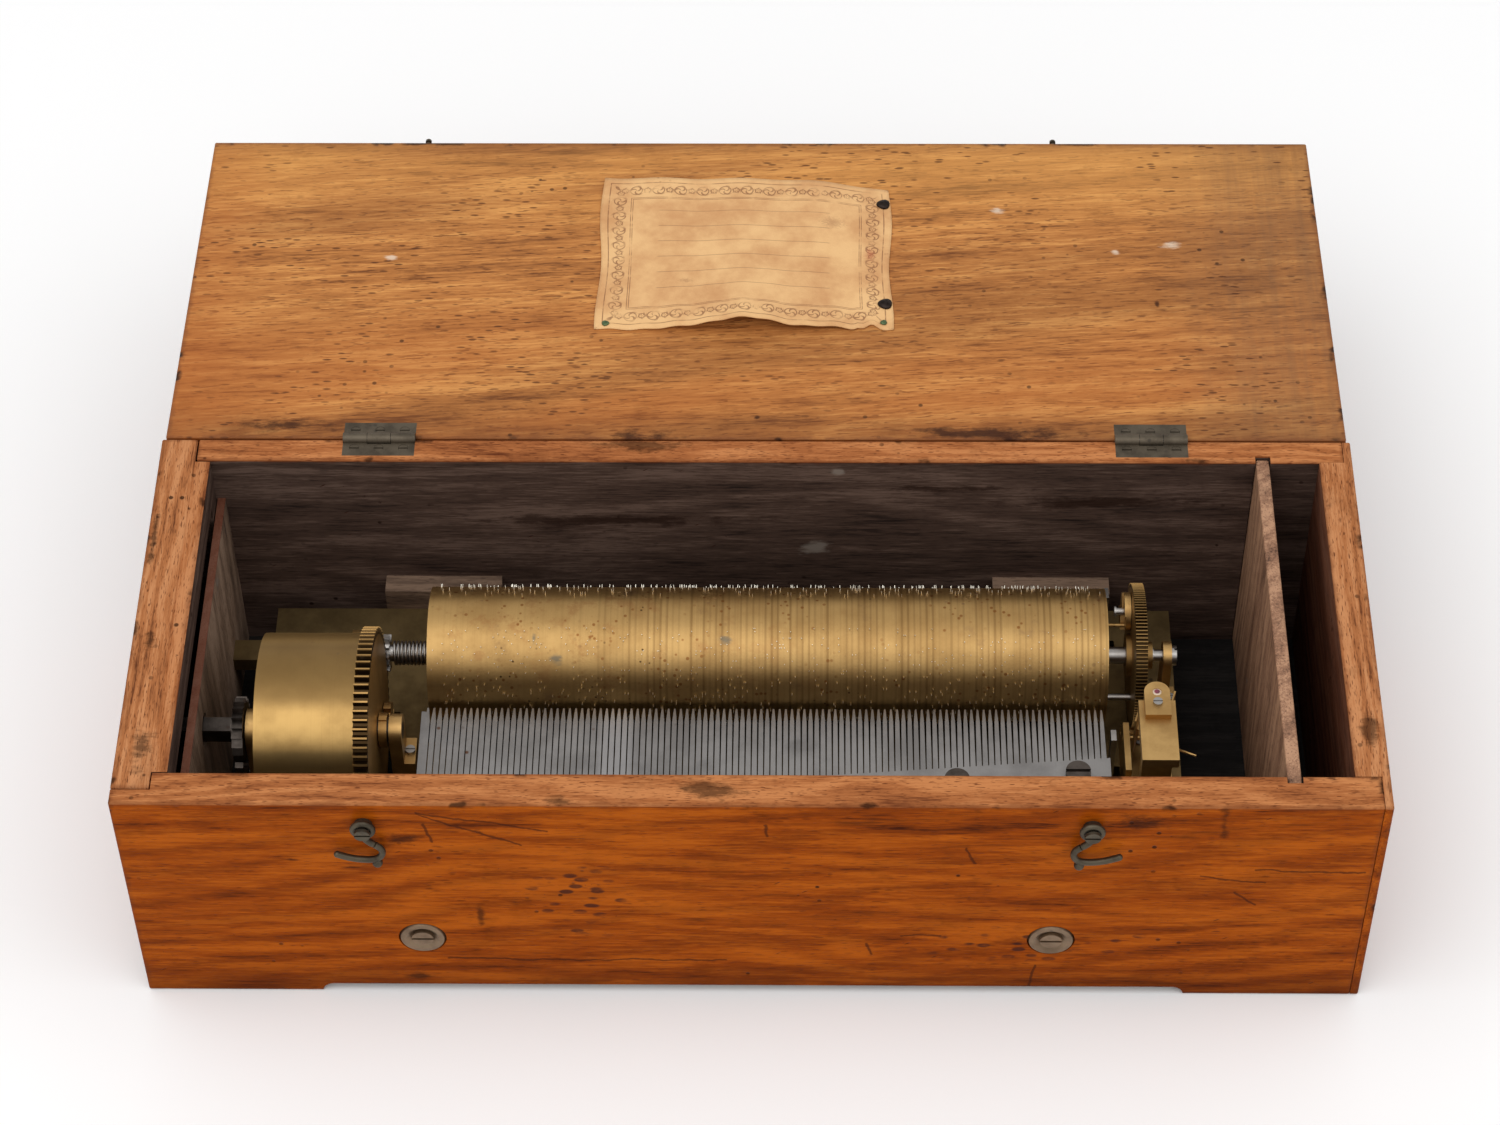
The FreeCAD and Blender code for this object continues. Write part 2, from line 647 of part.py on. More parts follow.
def leaf(name, side, on_lid):
    """A hinge leaf with its share of the knuckle: two outer barrels on the case, one on the lid."""
    middle = f"{side}_hinge_x"
    low = ("lid_bottom", "lid_bottom + leaf_thick") if on_lid else ("case_height - leaf_thick",
                                                                    "case_height")
    third = "leaf_length / 3"
    plate = box(name + "_plate", (f"{middle} - leaf_length / 2", f"{middle} + leaf_length / 2"),
                ("hinge_y - leaf_width - hinge_pin_out", "hinge_y - 0.9"), low)
    if on_lid:
        spans = [(f"{middle} - {third} / 2 + 0.15", f"{third} - 0.3")]
        waste = [(f"{middle} - leaf_length / 2 - 1", f"{middle} - {third} / 2 + 0.15"),
                 (f"{middle} + {third} / 2 - 0.15", f"{middle} + leaf_length / 2 + 1")]
    else:
        spans = [(f"{middle} - leaf_length / 2", third), (f"{middle} + {third} / 2", third)]
        waste = [(f"{middle} - {third} / 2", f"{middle} + {third} / 2")]
    knuckles = [rod(f"{name}_knuckle_{n}", "x", (start, "hinge_y", "hinge_z"), length, "knuckle_radius")
                for n, (start, length) in enumerate(spans)]
    tools = [rod(f"{name}_clear_{n}", "x", (low_x, "hinge_y", "hinge_z"), f"({high_x}) - ({low_x})",
                 "knuckle_radius + 0.3") for n, (low_x, high_x) in enumerate(waste)]
    bore = "hinge_pin_radius + running_gap" if on_lid else "hinge_pin_radius"
    tools.append(rod(name + "_bore", "x", (f"{middle} - leaf_length / 2 - 1", "hinge_y", "hinge_z"),
                     "leaf_length + 2", bore))
    for n in (-1, 0, 1):
        tools.append(rod(f"{name}_hole_{n + 1}", "z", (f"{middle} + {n} * leaf_screw_pitch",
                                                       "leaf_screw_y",
                                                       f"({low[0]}) - 1"), "leaf_thick + 2",
                         "leaf_hole_radius"))
    return cut(name, fuse(name + "_whole", [plate] + knuckles), tools)


piece("case_hinge_leaves",
      group("case_leaf_pair", [leaf(f"{side}_case_leaf", side, False) for side in SIDES]))
piece("lid_hinge_leaves",
      opened(group("lid_leaf_pair", [leaf(f"{side}_lid_leaf", side, True) for side in SIDES])))
piece("hinge_pins", group("hinge_pin_set", flap_pins + [
    rod(f"{side}_hinge_pin", "x", (f"{side}_hinge_x - leaf_length / 2 + 0.2", "hinge_y", "hinge_z"),
        "leaf_length - 0.4", "hinge_pin_radius") for side in SIDES
]))
case_leaf_screws, lid_leaf_screws = [], []
for side in SIDES:
    for n in (-1, 0, 1):
        spot = (f"{side}_hinge_x + {n} * leaf_screw_pitch", "leaf_screw_y")
        case_leaf_screws.append(screw(f"case_leaf_screw_{side}_{n + 1}", "z",
                                      spot + ("case_height - 1.05",), "6",
                                      "leaf_screw_radius", "leaf_screw_head", "1.0", slot=0.4, facing=1))
        lid_leaf_screws.append(screw(f"lid_leaf_screw_{side}_{n + 1}", "z", spot + ("lid_bottom + 1.05",),
                                     "6",
                                     "leaf_screw_radius", "leaf_screw_head", "1.0", slot=0.4))
piece("case_hinge_screws", group("case_hinge_screw_set", case_leaf_screws))
piece("lid_hinge_screws", opened(group("lid_hinge_screw_set", lid_leaf_screws)))
piece("lid_catch_pins", opened(group("lid_catch_pin_set", [
    fuse(f"lid_catch_{side}", [
        rod(f"lid_catch_shank_{side}", "y",
            (f"{side}_hook_x", "lid_front - 2.8", "lid_bottom + catch_rise"), "8.2",
            "0.6"),
        rod(f"lid_catch_head_{side}", "y",
            (f"{side}_hook_x", "lid_front - 3.6", "lid_bottom + catch_rise"), "0.8",
            "catch_head"),
    ]) for side in SIDES
])))
piece("tune_card", opened(cut("tune_card_sheet", box(
    "tune_card_plain", ("card_left", "card_right"), ("card_far", "card_near"),
    ("lid_bottom - card_thick", "lid_bottom")),
    [rod(f"card_hole_{n}", "z", (x, y, "lid_bottom - 1"), "2", "tack_radius") for n,
     (x, y) in enumerate(card_tack_places)])))
piece("card_tacks", opened(group("card_tack_set", [
    fuse(f"card_tack_whole_{n}", [
        cone(f"card_tack_head_{n}", "z", (x, y, "lid_bottom - card_thick - 0.8"), "0.8", "1.2", "1.8"),
        rod(f"card_tack_shank_{n}", "z", (x, y, "lid_bottom - card_thick - 0.1"), "4.0", "tack_radius"),
    ]) for n, (x, y) in enumerate(card_tack_places)
])))


# ---- lid hooks: a ring on a screw, an S of wire and a ball at its foot ----
def hook(name, side, turned):
    """turned is 1 when the prong points right and -1 when it points left."""
    wire = value("hook_wire")
    ring = value("hook_ring")
    catch = value("hook_drop + lid_gap + catch_rise")
    centre = vector(f"{side}_hook_x", "case_front - 2.2", "case_height - hook_drop")

    def at(across, down):
        return centre + FreeCAD.Vector(turned * across, 0, -down)

    spine = [at(0, ring), at(-1.6, catch * 0.5), at(-4.7, catch - 2.3), at(-3.6, catch + 1.4),
             at(0.6, catch + 2.3),
             at(4.6, catch + 1.5), at(8.2, catch - 0.1)]
    curve = Part.BSplineCurve()
    curve.interpolate(spine)
    path = Part.Wire(curve.toShape())
    disc = Part.Wire(Part.makeCircle(wire, spine[0], curve.tangent(curve.FirstParameter)[0]))
    swept = path.makePipeShell([disc], True, True)
    eye = Part.makeTorus(ring - 0.2, wire, centre, FreeCAD.Vector(0, 1, 0))
    tip = Part.makeSphere(wire * 1.02, spine[-1])
    drop = Part.makeSphere(wire * 1.5, at(-3.0, catch + 3.8))
    collar = Part.makeSphere(wire * 1.25, at(-0.3, ring + 0.6))
    shape = swept.fuse([eye, tip, drop, collar]).removeSplitter()
    return plain(name, shape)


piece("hook_left", hook("hook_left_wire", "left", -1))
piece("hook_right", hook("hook_right_wire", "right", 1))
hook_screws = []
for side in SIDES:
    spot = (f"{side}_hook_x", "case_front", "case_height - hook_drop")
    hook_screws.append(fuse(f"hook_screw_{side}", [
        rod(f"hook_screw_shank_{side}", "y", (spot[0], "case_front - 3.6", spot[2]), "10.4", "1.0"),
        rod(f"hook_screw_collar_{side}", "y", (spot[0], "case_front - 0.9", spot[2]), "0.9", "2.6"),
        screw(f"hook_screw_top_{side}", "y", (spot[0], "case_front - 3.5", spot[2]), "1", "1.0", "2.3",
              "1.0"),
    ]))
piece("hook_screws", group("hook_screw_set", hook_screws))

# ---- bedplate, its front screws and the back blocks ----
bed_cuts = [
    box("bed_barrel_window", ("barrel_left - 1.2", "gear_right + 2"), ("barrel_y - 30", "barrel_y + 30.5"),
        ("bed_bottom - 1", "bed_top + 1")),
    box("bed_left_notch", ("bed_left - 20", "bed_left"), ("inner_front - 1", "bed_back - 21"),
        ("bed_bottom - 1", "bed_top + 1")),
    box("bed_corner_notch", ("bed_left - 20", "bed_left"), ("bed_back - 13", "bed_back + 1"),
        ("bed_bottom - 1", "bed_top + 1")),
    box("bed_stop_slot", ("great_left - 7.6", "great_left - 2.9"), ("stop_y - 3.6", "stop_y + 3.6"),
        ("bed_bottom - 1", "bed_top + 1")),
    box("bed_change_slot", ("great_left - 7.6", "great_left - 2.2"), ("change_y - 2.4", "change_y + 2.4"),
        ("bed_bottom - 1", "bed_top + 1")),
]
for side in SIDES:
    bed_cuts.append(rod(f"bed_screw_hole_{side}", "y", (f"{side}_screw_x", "inner_front", "bed_middle"),
                        "bed_screw_depth + 1", "bed_screw_radius"))
piece("bedplate", cut("bedplate_cut", box("bed_slab", ("partition_right - 2", "bed_right"),
                                          ("inner_front", "bed_back"), ("bed_bottom", "bed_top")), bed_cuts))
piece("spacer_blocks", group("spacer_block_set", [
    box(f"spacer_{side}", (f"{side}_block_x - block_length / 2", f"{side}_block_x + block_length / 2"),
        ("bed_back", "inner_back"), ("block_bottom", "block_top")) for side in SIDES
]))
washers, bed_screws = [], []
for side in SIDES:
    seat = (f"{side}_screw_x", "case_front - 0.3", "bed_middle")
    washers.append(cut(f"washer_{side}", cone(f"washer_dish_{side}", "y", seat, "washer_thick",
                                              "washer_radius - 0.6", "washer_radius"),
                       [cone(f"washer_sink_{side}", "y", (seat[0], "case_front - 0.31", seat[2]), "1.0",
                             "4.9", "3.3"),
                        rod(f"washer_hole_{side}", "y", (seat[0], "case_front - 1", seat[2]), "5",
                            "bed_screw_radius + 0.3")]))
    bed_screws.append(screw(f"bed_screw_{side}", "y", (seat[0], "case_front + 0.68", seat[2]),
                            "front_wall + bed_screw_depth - 0.7", "bed_screw_radius", "3.25", "1.2",
                            slot=0.8))
piece("cup_washers", group("cup_washer_set", washers))
piece("bedplate_screws", group("bed_screw_set", bed_screws))


# ---- comb ----
def tooth_length(x):
    share = (value("comb_right") - x) / value("comb_right - comb_left")
    return value("treble_length") + share * value("bass_length - treble_length")


def comb_outline():
    """Tooth by tooth from the bass end: root, flanks and a narrow point."""
    pitch, saw, tip, point = (value(word) for word in ("tooth_pitch", "tooth_saw", "tooth_tip",
                                                       "tooth_point"))
    top = value("tip_y")
    left = value("comb_left")
    corners = [(left, value("comb_front")), (left, top - 1.4)]
    for n in range(int(value("tooth_count"))):
        middle = left + pitch * (n + 1)
        low = left if n == 0 else middle - pitch / 2 + saw / 2
        high = middle + pitch / 2 - saw / 2
        share = n / value("tooth_count")
        slim = (high - low) * 0.13 * share
        if n:
            corners.append((low, top - tooth_length(low)))
            corners.append((low + slim, top - point))
        else:
            corners.append((middle - pitch / 2, top - 1.4))
            corners.append((middle - tip / 2 - 0.15, top - 1.6))
        corners.append((middle - tip / 2, top))
        corners.append((middle + tip / 2, top))
        corners.append((high - slim, top - point))
        corners.append((high, top - tooth_length(high)))
    right = value("comb_right")
    corners.append((right, top - tooth_length(right)))
    corners.append((right, value("comb_front")))
    return corners


def slab(corners, low, high):
    points = [FreeCAD.Vector(x, y, low) for x, y in corners]
    wire = Part.makePolygon(points + points[:1])
    return Part.Face(wire).extrude(FreeCAD.Vector(0, 0, high - low))


comb_outline_points = comb_outline()
tooth_slab = slab(comb_outline_points, value("comb_top - tooth_thick"), value("comb_top"))
heel_corners = [(value("comb_left"), value("comb_front")),
                (value("comb_left"), value("tip_y - 0.6") - tooth_length(value("comb_left"))),
                (value("comb_right"), value("tip_y - 0.6") - tooth_length(value("comb_right"))),
                (value("comb_right"), value("comb_front"))]
heel_slab = slab(heel_corners, value("comb_under"), value("comb_top - tooth_thick"))
comb_plain = plain("comb_plate", tooth_slab.fuse(heel_slab).removeSplitter())
base_plain = plain("comb_base_plate", slab(heel_corners, value("bed_top"), value("comb_under")))
comb_cuts, base_cuts, comb_screws = [], [], []
for n in range(6):
    x = f"(comb_right - 9.8 - {n} * comb_screw_pitch)"
    y = (f"(tip_y - treble_length - comb_screw_back - (comb_right - {x})"
         " / (comb_right - comb_left) * (bass_length - treble_length))")
    comb_cuts.append(rod(f"comb_hole_{n}", "z", (x, y, "comb_under - 1"), "comb_heel + 2",
                         "comb_screw_shank + 0.2"))
    base_cuts.append(rod(f"comb_base_hole_{n}", "z", (x, y, "comb_under - 12"), "13", "comb_screw_shank"))
    comb_screws.append(screw(f"comb_screw_{n}", "z", (x, y, "comb_top"), "comb_heel + 11",
                             "comb_screw_shank",
                             "comb_screw_head", "2.2", slot=1.1, facing=1))
piece("comb", cut("comb_drilled", comb_plain, comb_cuts))
piece("comb_base", cut("comb_base_drilled", base_plain, base_cuts))
piece("comb_screws", group("comb_screw_set", comb_screws))
piece("tuning_weights", group("tuning_weight_set", [
    box(f"tuning_weight_{n}",
        (f"comb_left + tooth_pitch * {n + 1} - 0.55", f"comb_left + tooth_pitch * {n + 1} + 0.55"),
        ("tip_y - 9", "tip_y - 3.2"),
        (f"comb_top - tooth_thick - 4.2 + {n} * 0.07", "comb_top - tooth_thick"))
    for n in range(40)
]))

# ---- cylinder, its caps and its arbor ----
axis_at = ("cylinder_y", "cylinder_z")


def ring(name, start, length, outer, inner, middle=axis_at):
    return cut(name, rod(name + "_out", "x", (start,) + middle, length, outer),
               [rod(name + "_in", "x", (f"({start}) - 1",) + middle, f"({length}) + 2", inner)])


piece("cylinder", ring("cylinder_tube", "cylinder_left", "cylinder_length", "cylinder_radius",
                       "cylinder_radius - cylinder_wall"))
rule("drive_y", "cylinder_y - 9.6")
rule("drive_z", "cylinder_z - 8.2")
rule("snail_face", "great_left - 1.7")
rule("follower_angle", "225")
rule("follower_y", "star_y + follower_reach * cos(follower_angle)")
rule("follower_z", "star_z + follower_reach * sin(follower_angle)")
drive_hole = [rod("cap_drive_hole", "x", ("cylinder_right - 8", "drive_y", "drive_z"), "10",
                  "drive_pin_radius + running_gap")]
caps = [
    cut("right_cap",
        ring("right_cap_disc", "cylinder_right - cap_thick", "cap_thick", "cylinder_radius - cylinder_wall",
                          "arbor_radius + running_gap"), drive_hole),
    ring("left_cap", "cylinder_left", "cap_thick", "cylinder_radius - cylinder_wall",
         "arbor_radius + running_gap"),
]
caps[0] = fuse("right_cap_with_follower", [
    caps[0],
    rod("follower_pin", "x", ("cylinder_right - 1", "follower_y", "follower_z"),
        "snail_face - cylinder_right - slide_clear + 1", "follower_radius"),
    rod("follower_foot", "x", ("cylinder_right - 1", "follower_y", "follower_z"), "2.2", "1.8"),
])
piece("cylinder_caps", group("cylinder_cap_set", caps))
piece("cylinder_arbor", fuse("cylinder_arbor_rod", [
    rod("arbor_main", "x", ("gear_left - 1.0",) + axis_at, "great_right + 3.4 - (gear_left - 1.0)",
        "arbor_radius"),
    rod("arbor_left_end", "x", ("gear_left - 7.0",) + axis_at, "6.2", "arbor_end_radius"),
    rod("arbor_right_end", "x", ("great_right + 3.2",) + axis_at,
        "right_bearing_right - 0.2 - (great_right + 3.2)",
        "arbor_end_radius"),
]))
rule("pinion_angle", "atan2(barrel_rise; -sqrt(gear_distance ^ 2 - barrel_rise ^ 2)) / (1 deg)")
piece("arbor_pinion", toothed("arbor_pinion_body", "pinion_teeth", "gear_module", "barrel_gear_width + 1.3",
                              "arbor_radius", ("gear_left - 0.7",) + axis_at,
                              "-90 + pinion_angle + 180 / pinion_teeth", gap_share=0.66))
great = toothed("great_wheel_body", "great_teeth", "great_module", "great_width", "arbor_radius",
                ("great_left",) + axis_at, "-90 + train_angle", gap_share=0.6)
boss = ring("great_boss", "great_left - 1.6", "1.6", "hub_radius", "arbor_radius")
hub = ring("great_hub", "great_right", "3.0", "4.2", "arbor_radius")
piece("great_wheel", cut("great_wheel_bored", fuse("great_wheel_whole", [great, boss, hub]), [
    rod("great_pin_hole", "x", ("great_left - 1", "drive_y", "drive_z"), "great_width + 2",
        "drive_pin_radius"),
    rod("great_stud_hole", "x", ("great_left - 1", "star_y", "star_z"), "great_width + 2", "stud_radius"),
]))
piece("drive_pin", rod("drive_pin_rod", "x", ("cylinder_right - 5.5", "drive_y", "drive_z"),
                       "great_left - cylinder_right + 5.5 + great_width", "drive_pin_radius"))
piece("change_stud", fuse("change_stud_rod", [
    rod("stud_shank", "x", ("great_left - 4.4", "star_y", "star_z"), "great_width + 4.4", "stud_radius"),
    rod("stud_head", "x", ("great_left - 5.0", "star_y", "star_z"), "0.6", "1.7"),
]))


def snail():
    """A four-step snail: each quarter stands one tune step prouder than the last."""
    back = value("great_left - star_gap")
    centre = FreeCAD.Vector(back, value("star_y"), value("star_z"))
    across = FreeCAD.Vector(1, 0, 0)
    radius = value("star_radius")
    low_face = value("snail_face")
    shape = Part.makeCylinder(radius, back - low_face, FreeCAD.Vector(low_face, centre.y, centre.z), across)
    for n in range(1, 4):
        face = low_face - n * value("tune_step")
        quarter = Part.makeCylinder(radius, back - face, FreeCAD.Vector(face, centre.y, centre.z), across)
        corner = Part.makeBox(back - face, radius, radius, FreeCAD.Vector(face, centre.y, centre.z))
        corner.rotate(centre, across, value("follower_angle + step_lead - 90") - 90 * n)
        shape = shape.fuse(quarter.common(corner))
    bore = Part.makeCylinder(value("stud_radius + running_gap"), 8, centre - across * 6, across)
    return shape.removeSplitter().cut(bore)


piece("change_snail", plain("change_snail_solid", snail()))


# ---- springs ----
def coil(name, start_x, end_x, middle, radius, wire, turns):
    length = end_x - start_x - 2 * wire
    path = Part.makeHelix(length / turns, length, radius)
    path.rotate(FreeCAD.Vector(), FreeCAD.Vector(0, 1, 0), 90)
    path.translate(FreeCAD.Vector(start_x + wire, middle.y, middle.z))
    edge = path.Edges[0]
    disc = Part.Wire(Part.makeCircle(wire, edge.valueAt(edge.FirstParameter),
                                     edge.tangentAt(edge.FirstParameter)))
    return plain(name, Part.Wire(path.Edges).makePipeShell([disc], True, True))


piece("cylinder_spring",
      coil("cylinder_spring_coil", value("gear_right + 1.0"), value("cylinder_left - 0.25"),
                              vector("0", *axis_at), 3.35, 0.42, 10))


def spiral(name, low_x, high_x, middle, inner, outer, thick, turns):
    """A flat spiral ribbon wound from the arbor out to the barrel's wall, half a turn at a time."""
    growth = (outer - inner) / (2 * turns)

    def run(extra):
        halves = []
        for n in range(2 * turns):
            side = -1 if n % 2 else 1
            centre = FreeCAD.Vector(low_x, middle.y + (growth if n % 2 else 0), middle.z)
            reach = inner + growth * n + extra
            halves.append(Part.Arc(centre + FreeCAD.Vector(0, side * reach, 0),
                                   centre + FreeCAD.Vector(0, 0, side * reach),
                                   centre - FreeCAD.Vector(0, side * reach, 0)).toShape())
        return halves, halves[0].Vertexes[0].Point, halves[-1].Vertexes[-1].Point
    near, near_start, near_end = run(0)
    far, far_start, far_end = run(thick)
    ends = [Part.makeLine(near_end, far_end), Part.makeLine(far_start, near_start)]
    face = Part.Face(Part.Wire(Part.__sortEdges__(near + far + ends)))
    return plain(name, face.extrude(FreeCAD.Vector(high_x - low_x, 0, 0)))


barrel_at = ("barrel_y", "barrel_z")
piece("spring_barrel", ring("barrel_drum", "barrel_left", "barrel_length", "barrel_radius",
                            "barrel_radius - barrel_wall", barrel_at))
piece("barrel_cover", ring("barrel_cover_disc", "barrel_left + 0.6", "1.8", "barrel_radius - barrel_wall",
                           "barrel_arbor_radius + running_gap", barrel_at))
gear_wheel = toothed("barrel_gear_body", "barrel_teeth", "gear_module", "barrel_gear_width",
                     "barrel_arbor_radius + running_gap", ("gear_left",) + barrel_at,
                     "-90 + atan2(-barrel_rise; sqrt(gear_distance ^ 2 - barrel_rise ^ 2)) / (1 deg)",
                     gap_share=0.6)
cross_at = ("barrel_y + cross_distance * cos(-45)", "barrel_z + cross_distance * sin(-45)")
piece("barrel_gear", fuse("barrel_gear_whole", [
    gear_wheel, rod("stop_cross_stud", "x", ("gear_right - 1",) + cross_at, "1 + 0.4 + 2.4", "cross_stud"),
]))
piece("mainspring", spiral("mainspring_ribbon", value("barrel_left + 3.4"), value("gear_left - 1.0"),
                           vector("0", *barrel_at), value("barrel_arbor_radius + 0.3"),
                           value("barrel_radius - barrel_wall - 1.0"), value("spring_thick"), 12))
rule("bridge_left", "barrel_left - 3.2 - bridge_thick")
rule("ratchet_left", "bridge_left - 0.4 - ratchet_thick")
rule("finger_left", "gear_right + 0.4")
rule("right_bridge_left", "finger_left + 3.0")
square_half = "winding_square / 2"
winding = fuse("barrel_arbor_whole", [
    rod("barrel_arbor_rod", "x", ("ratchet_left - 1.0",) + barrel_at,
        "right_bridge_left - 0.3 - (ratchet_left - 1.0)", "barrel_arbor_radius"),
    rod("barrel_arbor_neck", "x", ("right_bridge_left - 0.4",) + barrel_at, "right_bridge_thick + 0.4",
        "barrel_neck_radius"),
    box("winding_square_bar", ("flap_inner - winding_reach", "ratchet_left - 0.9"),
        (f"barrel_y - {square_half}", f"barrel_y + {square_half}"),
        (f"barrel_z - {square_half}", f"barrel_z + {square_half}")),
])
piece("barrel_arbor", winding)


def ratchet():
    """Saw teeth: each rises slowly to its tip and drops back along a radius."""
    count = int(value("ratchet_teeth"))
    tip, root = value("ratchet_radius"), value("ratchet_radius") - 1.5
    y, z, x = value("barrel_y"), value("barrel_z"), value("ratchet_left")
    points = []
    for n in range(count):
        for reach, turn in ((tip, 0.0), (root, 0.06)):
            angle = 2 * math.pi * (n + turn) / count
            points.append(FreeCAD.Vector(x, y + reach * math.cos(angle), z + reach * math.sin(angle)))
    face = Part.Face(Part.makePolygon(points + points[:1]))
    wheel = face.extrude(FreeCAD.Vector(value("ratchet_thick"), 0, 0))
    return wheel.cut(Part.makeCylinder(value("barrel_arbor_radius"), 20, FreeCAD.Vector(x - 5, y, z),
                                       FreeCAD.Vector(1, 0, 0)))


piece("ratchet_wheel", plain("ratchet_wheel_plate", ratchet()))
piece("stop_finger", fuse("stop_finger_disc", [
    ring("stop_finger_ring", "finger_left", "2.4", "finger_radius", "barrel_arbor_radius", barrel_at),
    box("stop_finger_tooth", ("finger_left", "finger_left + 2.4"), ("barrel_y - 0.7", "barrel_y + 0.7"),
        ("barrel_z + finger_radius - 0.6", "barrel_z + finger_reach")),
]))


def cross():
    """Four-armed stop cross, its arms hollowed to clear the finger's disc."""
    centre = vector("finger_left", *cross_at)
    right = FreeCAD.Vector(1, 0, 0)
    distance = value("cross_distance")
    disc = Part.makeCylinder(value("cross_radius"), 2.2, centre, right)
    tools = [Part.makeCylinder(value("cross_stud + running_gap"), 6, centre - right * 2, right)]
    for n in range(4):
        angle = math.radians(135 + 90 * n)
        side = centre + FreeCAD.Vector(-1, distance * math.cos(angle), distance * math.sin(angle))
        tools.append(Part.makeCylinder(value("finger_reach + 0.2"), 4, side, right))
        slot = Part.makeBox(4, 4.6, 1.7, centre + FreeCAD.Vector(-1, 3.0, -0.85))
        slot.rotate(centre, right, 90 * n)
        tools.append(slot)
    return disc.cut(tools)


piece("stop_cross", plain("stop_cross_plate", cross()))


# ---- bridges and bearings standing on the bedplate ----
def standing(name, low_x, high_x, y, z, width, top_radius, bore, foot_low, foot_high, foot_top):
    """A flat plate with a rounded head round its bore and a foot that is screwed down."""
    parts = [
        box(name + "_leg", (low_x, high_x), (f"({y}) - ({width})", f"({y}) + ({width})"), ("bed_top", z)),
        rod(name + "_head", "x", (low_x, y, z), f"({high_x}) - ({low_x})", top_radius),
        box(name + "_foot", (foot_low, foot_high), (f"({y}) - ({width})", f"({y}) + ({width})"),
            ("bed_top", foot_top)),
    ]
    return cut(name, fuse(name + "_whole", parts), [
        rod(name + "_bore", "x", (f"({low_x}) - 1", y, z), f"({high_x}) - ({low_x}) + 2", bore)])


piece("barrel_left_bridge",
      standing("left_bridge_plate", "bridge_left", "bridge_left + bridge_thick", "barrel_y",
                                     "barrel_z", "6.2", "6.2", "barrel_arbor_radius + running_gap",
                                     "bridge_left", "bridge_left + bridge_thick + 2.0", "bed_top + 4"))
bridge_screw_at = ("right_bridge_left + right_bridge_thick + 1.5", "barrel_y", "bed_top + 20")
right_bridge = standing("right_bridge_plate", "right_bridge_left", "right_bridge_left + right_bridge_thick",
                        "barrel_y", "barrel_z", "4.9", "4.9", "barrel_neck_radius + running_gap",
                        "right_bridge_left", "right_bridge_left + right_bridge_thick + 3.2", "bed_top + 20")
piece("barrel_right_bridge", cut("right_bridge_drilled", right_bridge, [
    rod("right_bridge_screw_hole", "z", shift(bridge_screw_at, "z", "-6"), "7", "small_screw"),
]))
left_bearing = standing("left_bearing_plate", "gear_left - 6.6", "gear_left - 3.0", "cylinder_y + 2.0",
                        "cylinder_z",
                        "5.5", "5.5", "0.4", "gear_left - 6.6", "gear_left - 3.0", "bed_top + 4")
left_bearing = cut("left_bearing_cut", left_bearing, [
    rod("left_bearing_hole", "x", ("gear_left - 8",) + axis_at, "6", "arbor_end_radius + running_gap"),
    rod("left_bearing_relief", "x", ("gear_left - 8",) + barrel_at, "6", "barrel_radius + 0.5"),
])
right_bearing = standing("right_bearing_plate", "right_bearing_left", "right_bearing_right", "cylinder_y",
                         "cylinder_z",
                         "4.4", "4.4", "arbor_end_radius + running_gap", "right_bearing_left - 2.2",
                         "right_bearing_right + 2.6", "bed_top + 3.5")
bearing_screw_at = ("right_bearing_right + 1.3", "cylinder_y", "bed_top + 3.5")
right_bearing = cut("right_bearing_drilled", right_bearing, [
    rod("right_bearing_screw_hole", "z", shift(bearing_screw_at, "z", "-4"), "5", "small_screw"),
])
piece("arbor_bearings", group("arbor_bearing_pair", [left_bearing, right_bearing]))
movement_screws = [
    screw("end_screw", "x", ("right_bearing_right",) + axis_at, "0.1", "arbor_end_radius", "3.0", "1.6",
          facing=1),
    screw("bridge_screw", "z", bridge_screw_at, "6", "small_screw", "1.5", "1.0", slot=0.5, facing=1),
    screw("bearing_screw", "z", bearing_screw_at, "3.5", "small_screw", "1.2", "0.9", slot=0.4, facing=1),
]

# ---- click for the ratchet, on its own screw in the left bridge ----
rule("click_y", "barrel_y - 3.2")
rule("click_z", "barrel_z - 16.0")


def click():
    """A hooked pawl, drawn lifted to the tips of the saw teeth so that the ratchet is free to turn."""
    across = FreeCAD.Vector(1, 0, 0)
    thick = value("click_thick")
    middle = vector("ratchet_left + 0.4", *barrel_at)
    pivot = vector("ratchet_left + 0.4", "click_y", "click_z")
    engaged = ((-8.12, -2.84), (-9.40, -5.20), (-8.40, -9.60), (-1.20, -15.40), (-5.20, -16.60),
               (-11.40, -6.20),
               (-9.75, -3.35))
    corners = [middle + FreeCAD.Vector(0, y, z) for y, z in engaged]
    blade = Part.Face(Part.makePolygon(corners + corners[:1])).extrude(across * thick)
    hub = Part.makeCylinder(2.4, thick, pivot, across)
    bore = Part.makeCylinder(value("stud_radius + running_gap"), thick + 2, pivot - across, across)
    shape = blade.fuse(hub).removeSplitter().cut(bore)
    shape.rotate(pivot, across, value("click_lift"))
    return shape


piece("click", plain("click_pawl", click()))
movement_screws.append(fuse("click_screw", [
    rod("click_pin", "x", ("ratchet_left + 0.1", "click_y", "click_z"), "bridge_left - (ratchet_left + 0.1)",
        "stud_radius"),
    rod("click_head", "x", ("ratchet_left - 0.7", "click_y", "click_z"), "0.8", "2.0"),
]))

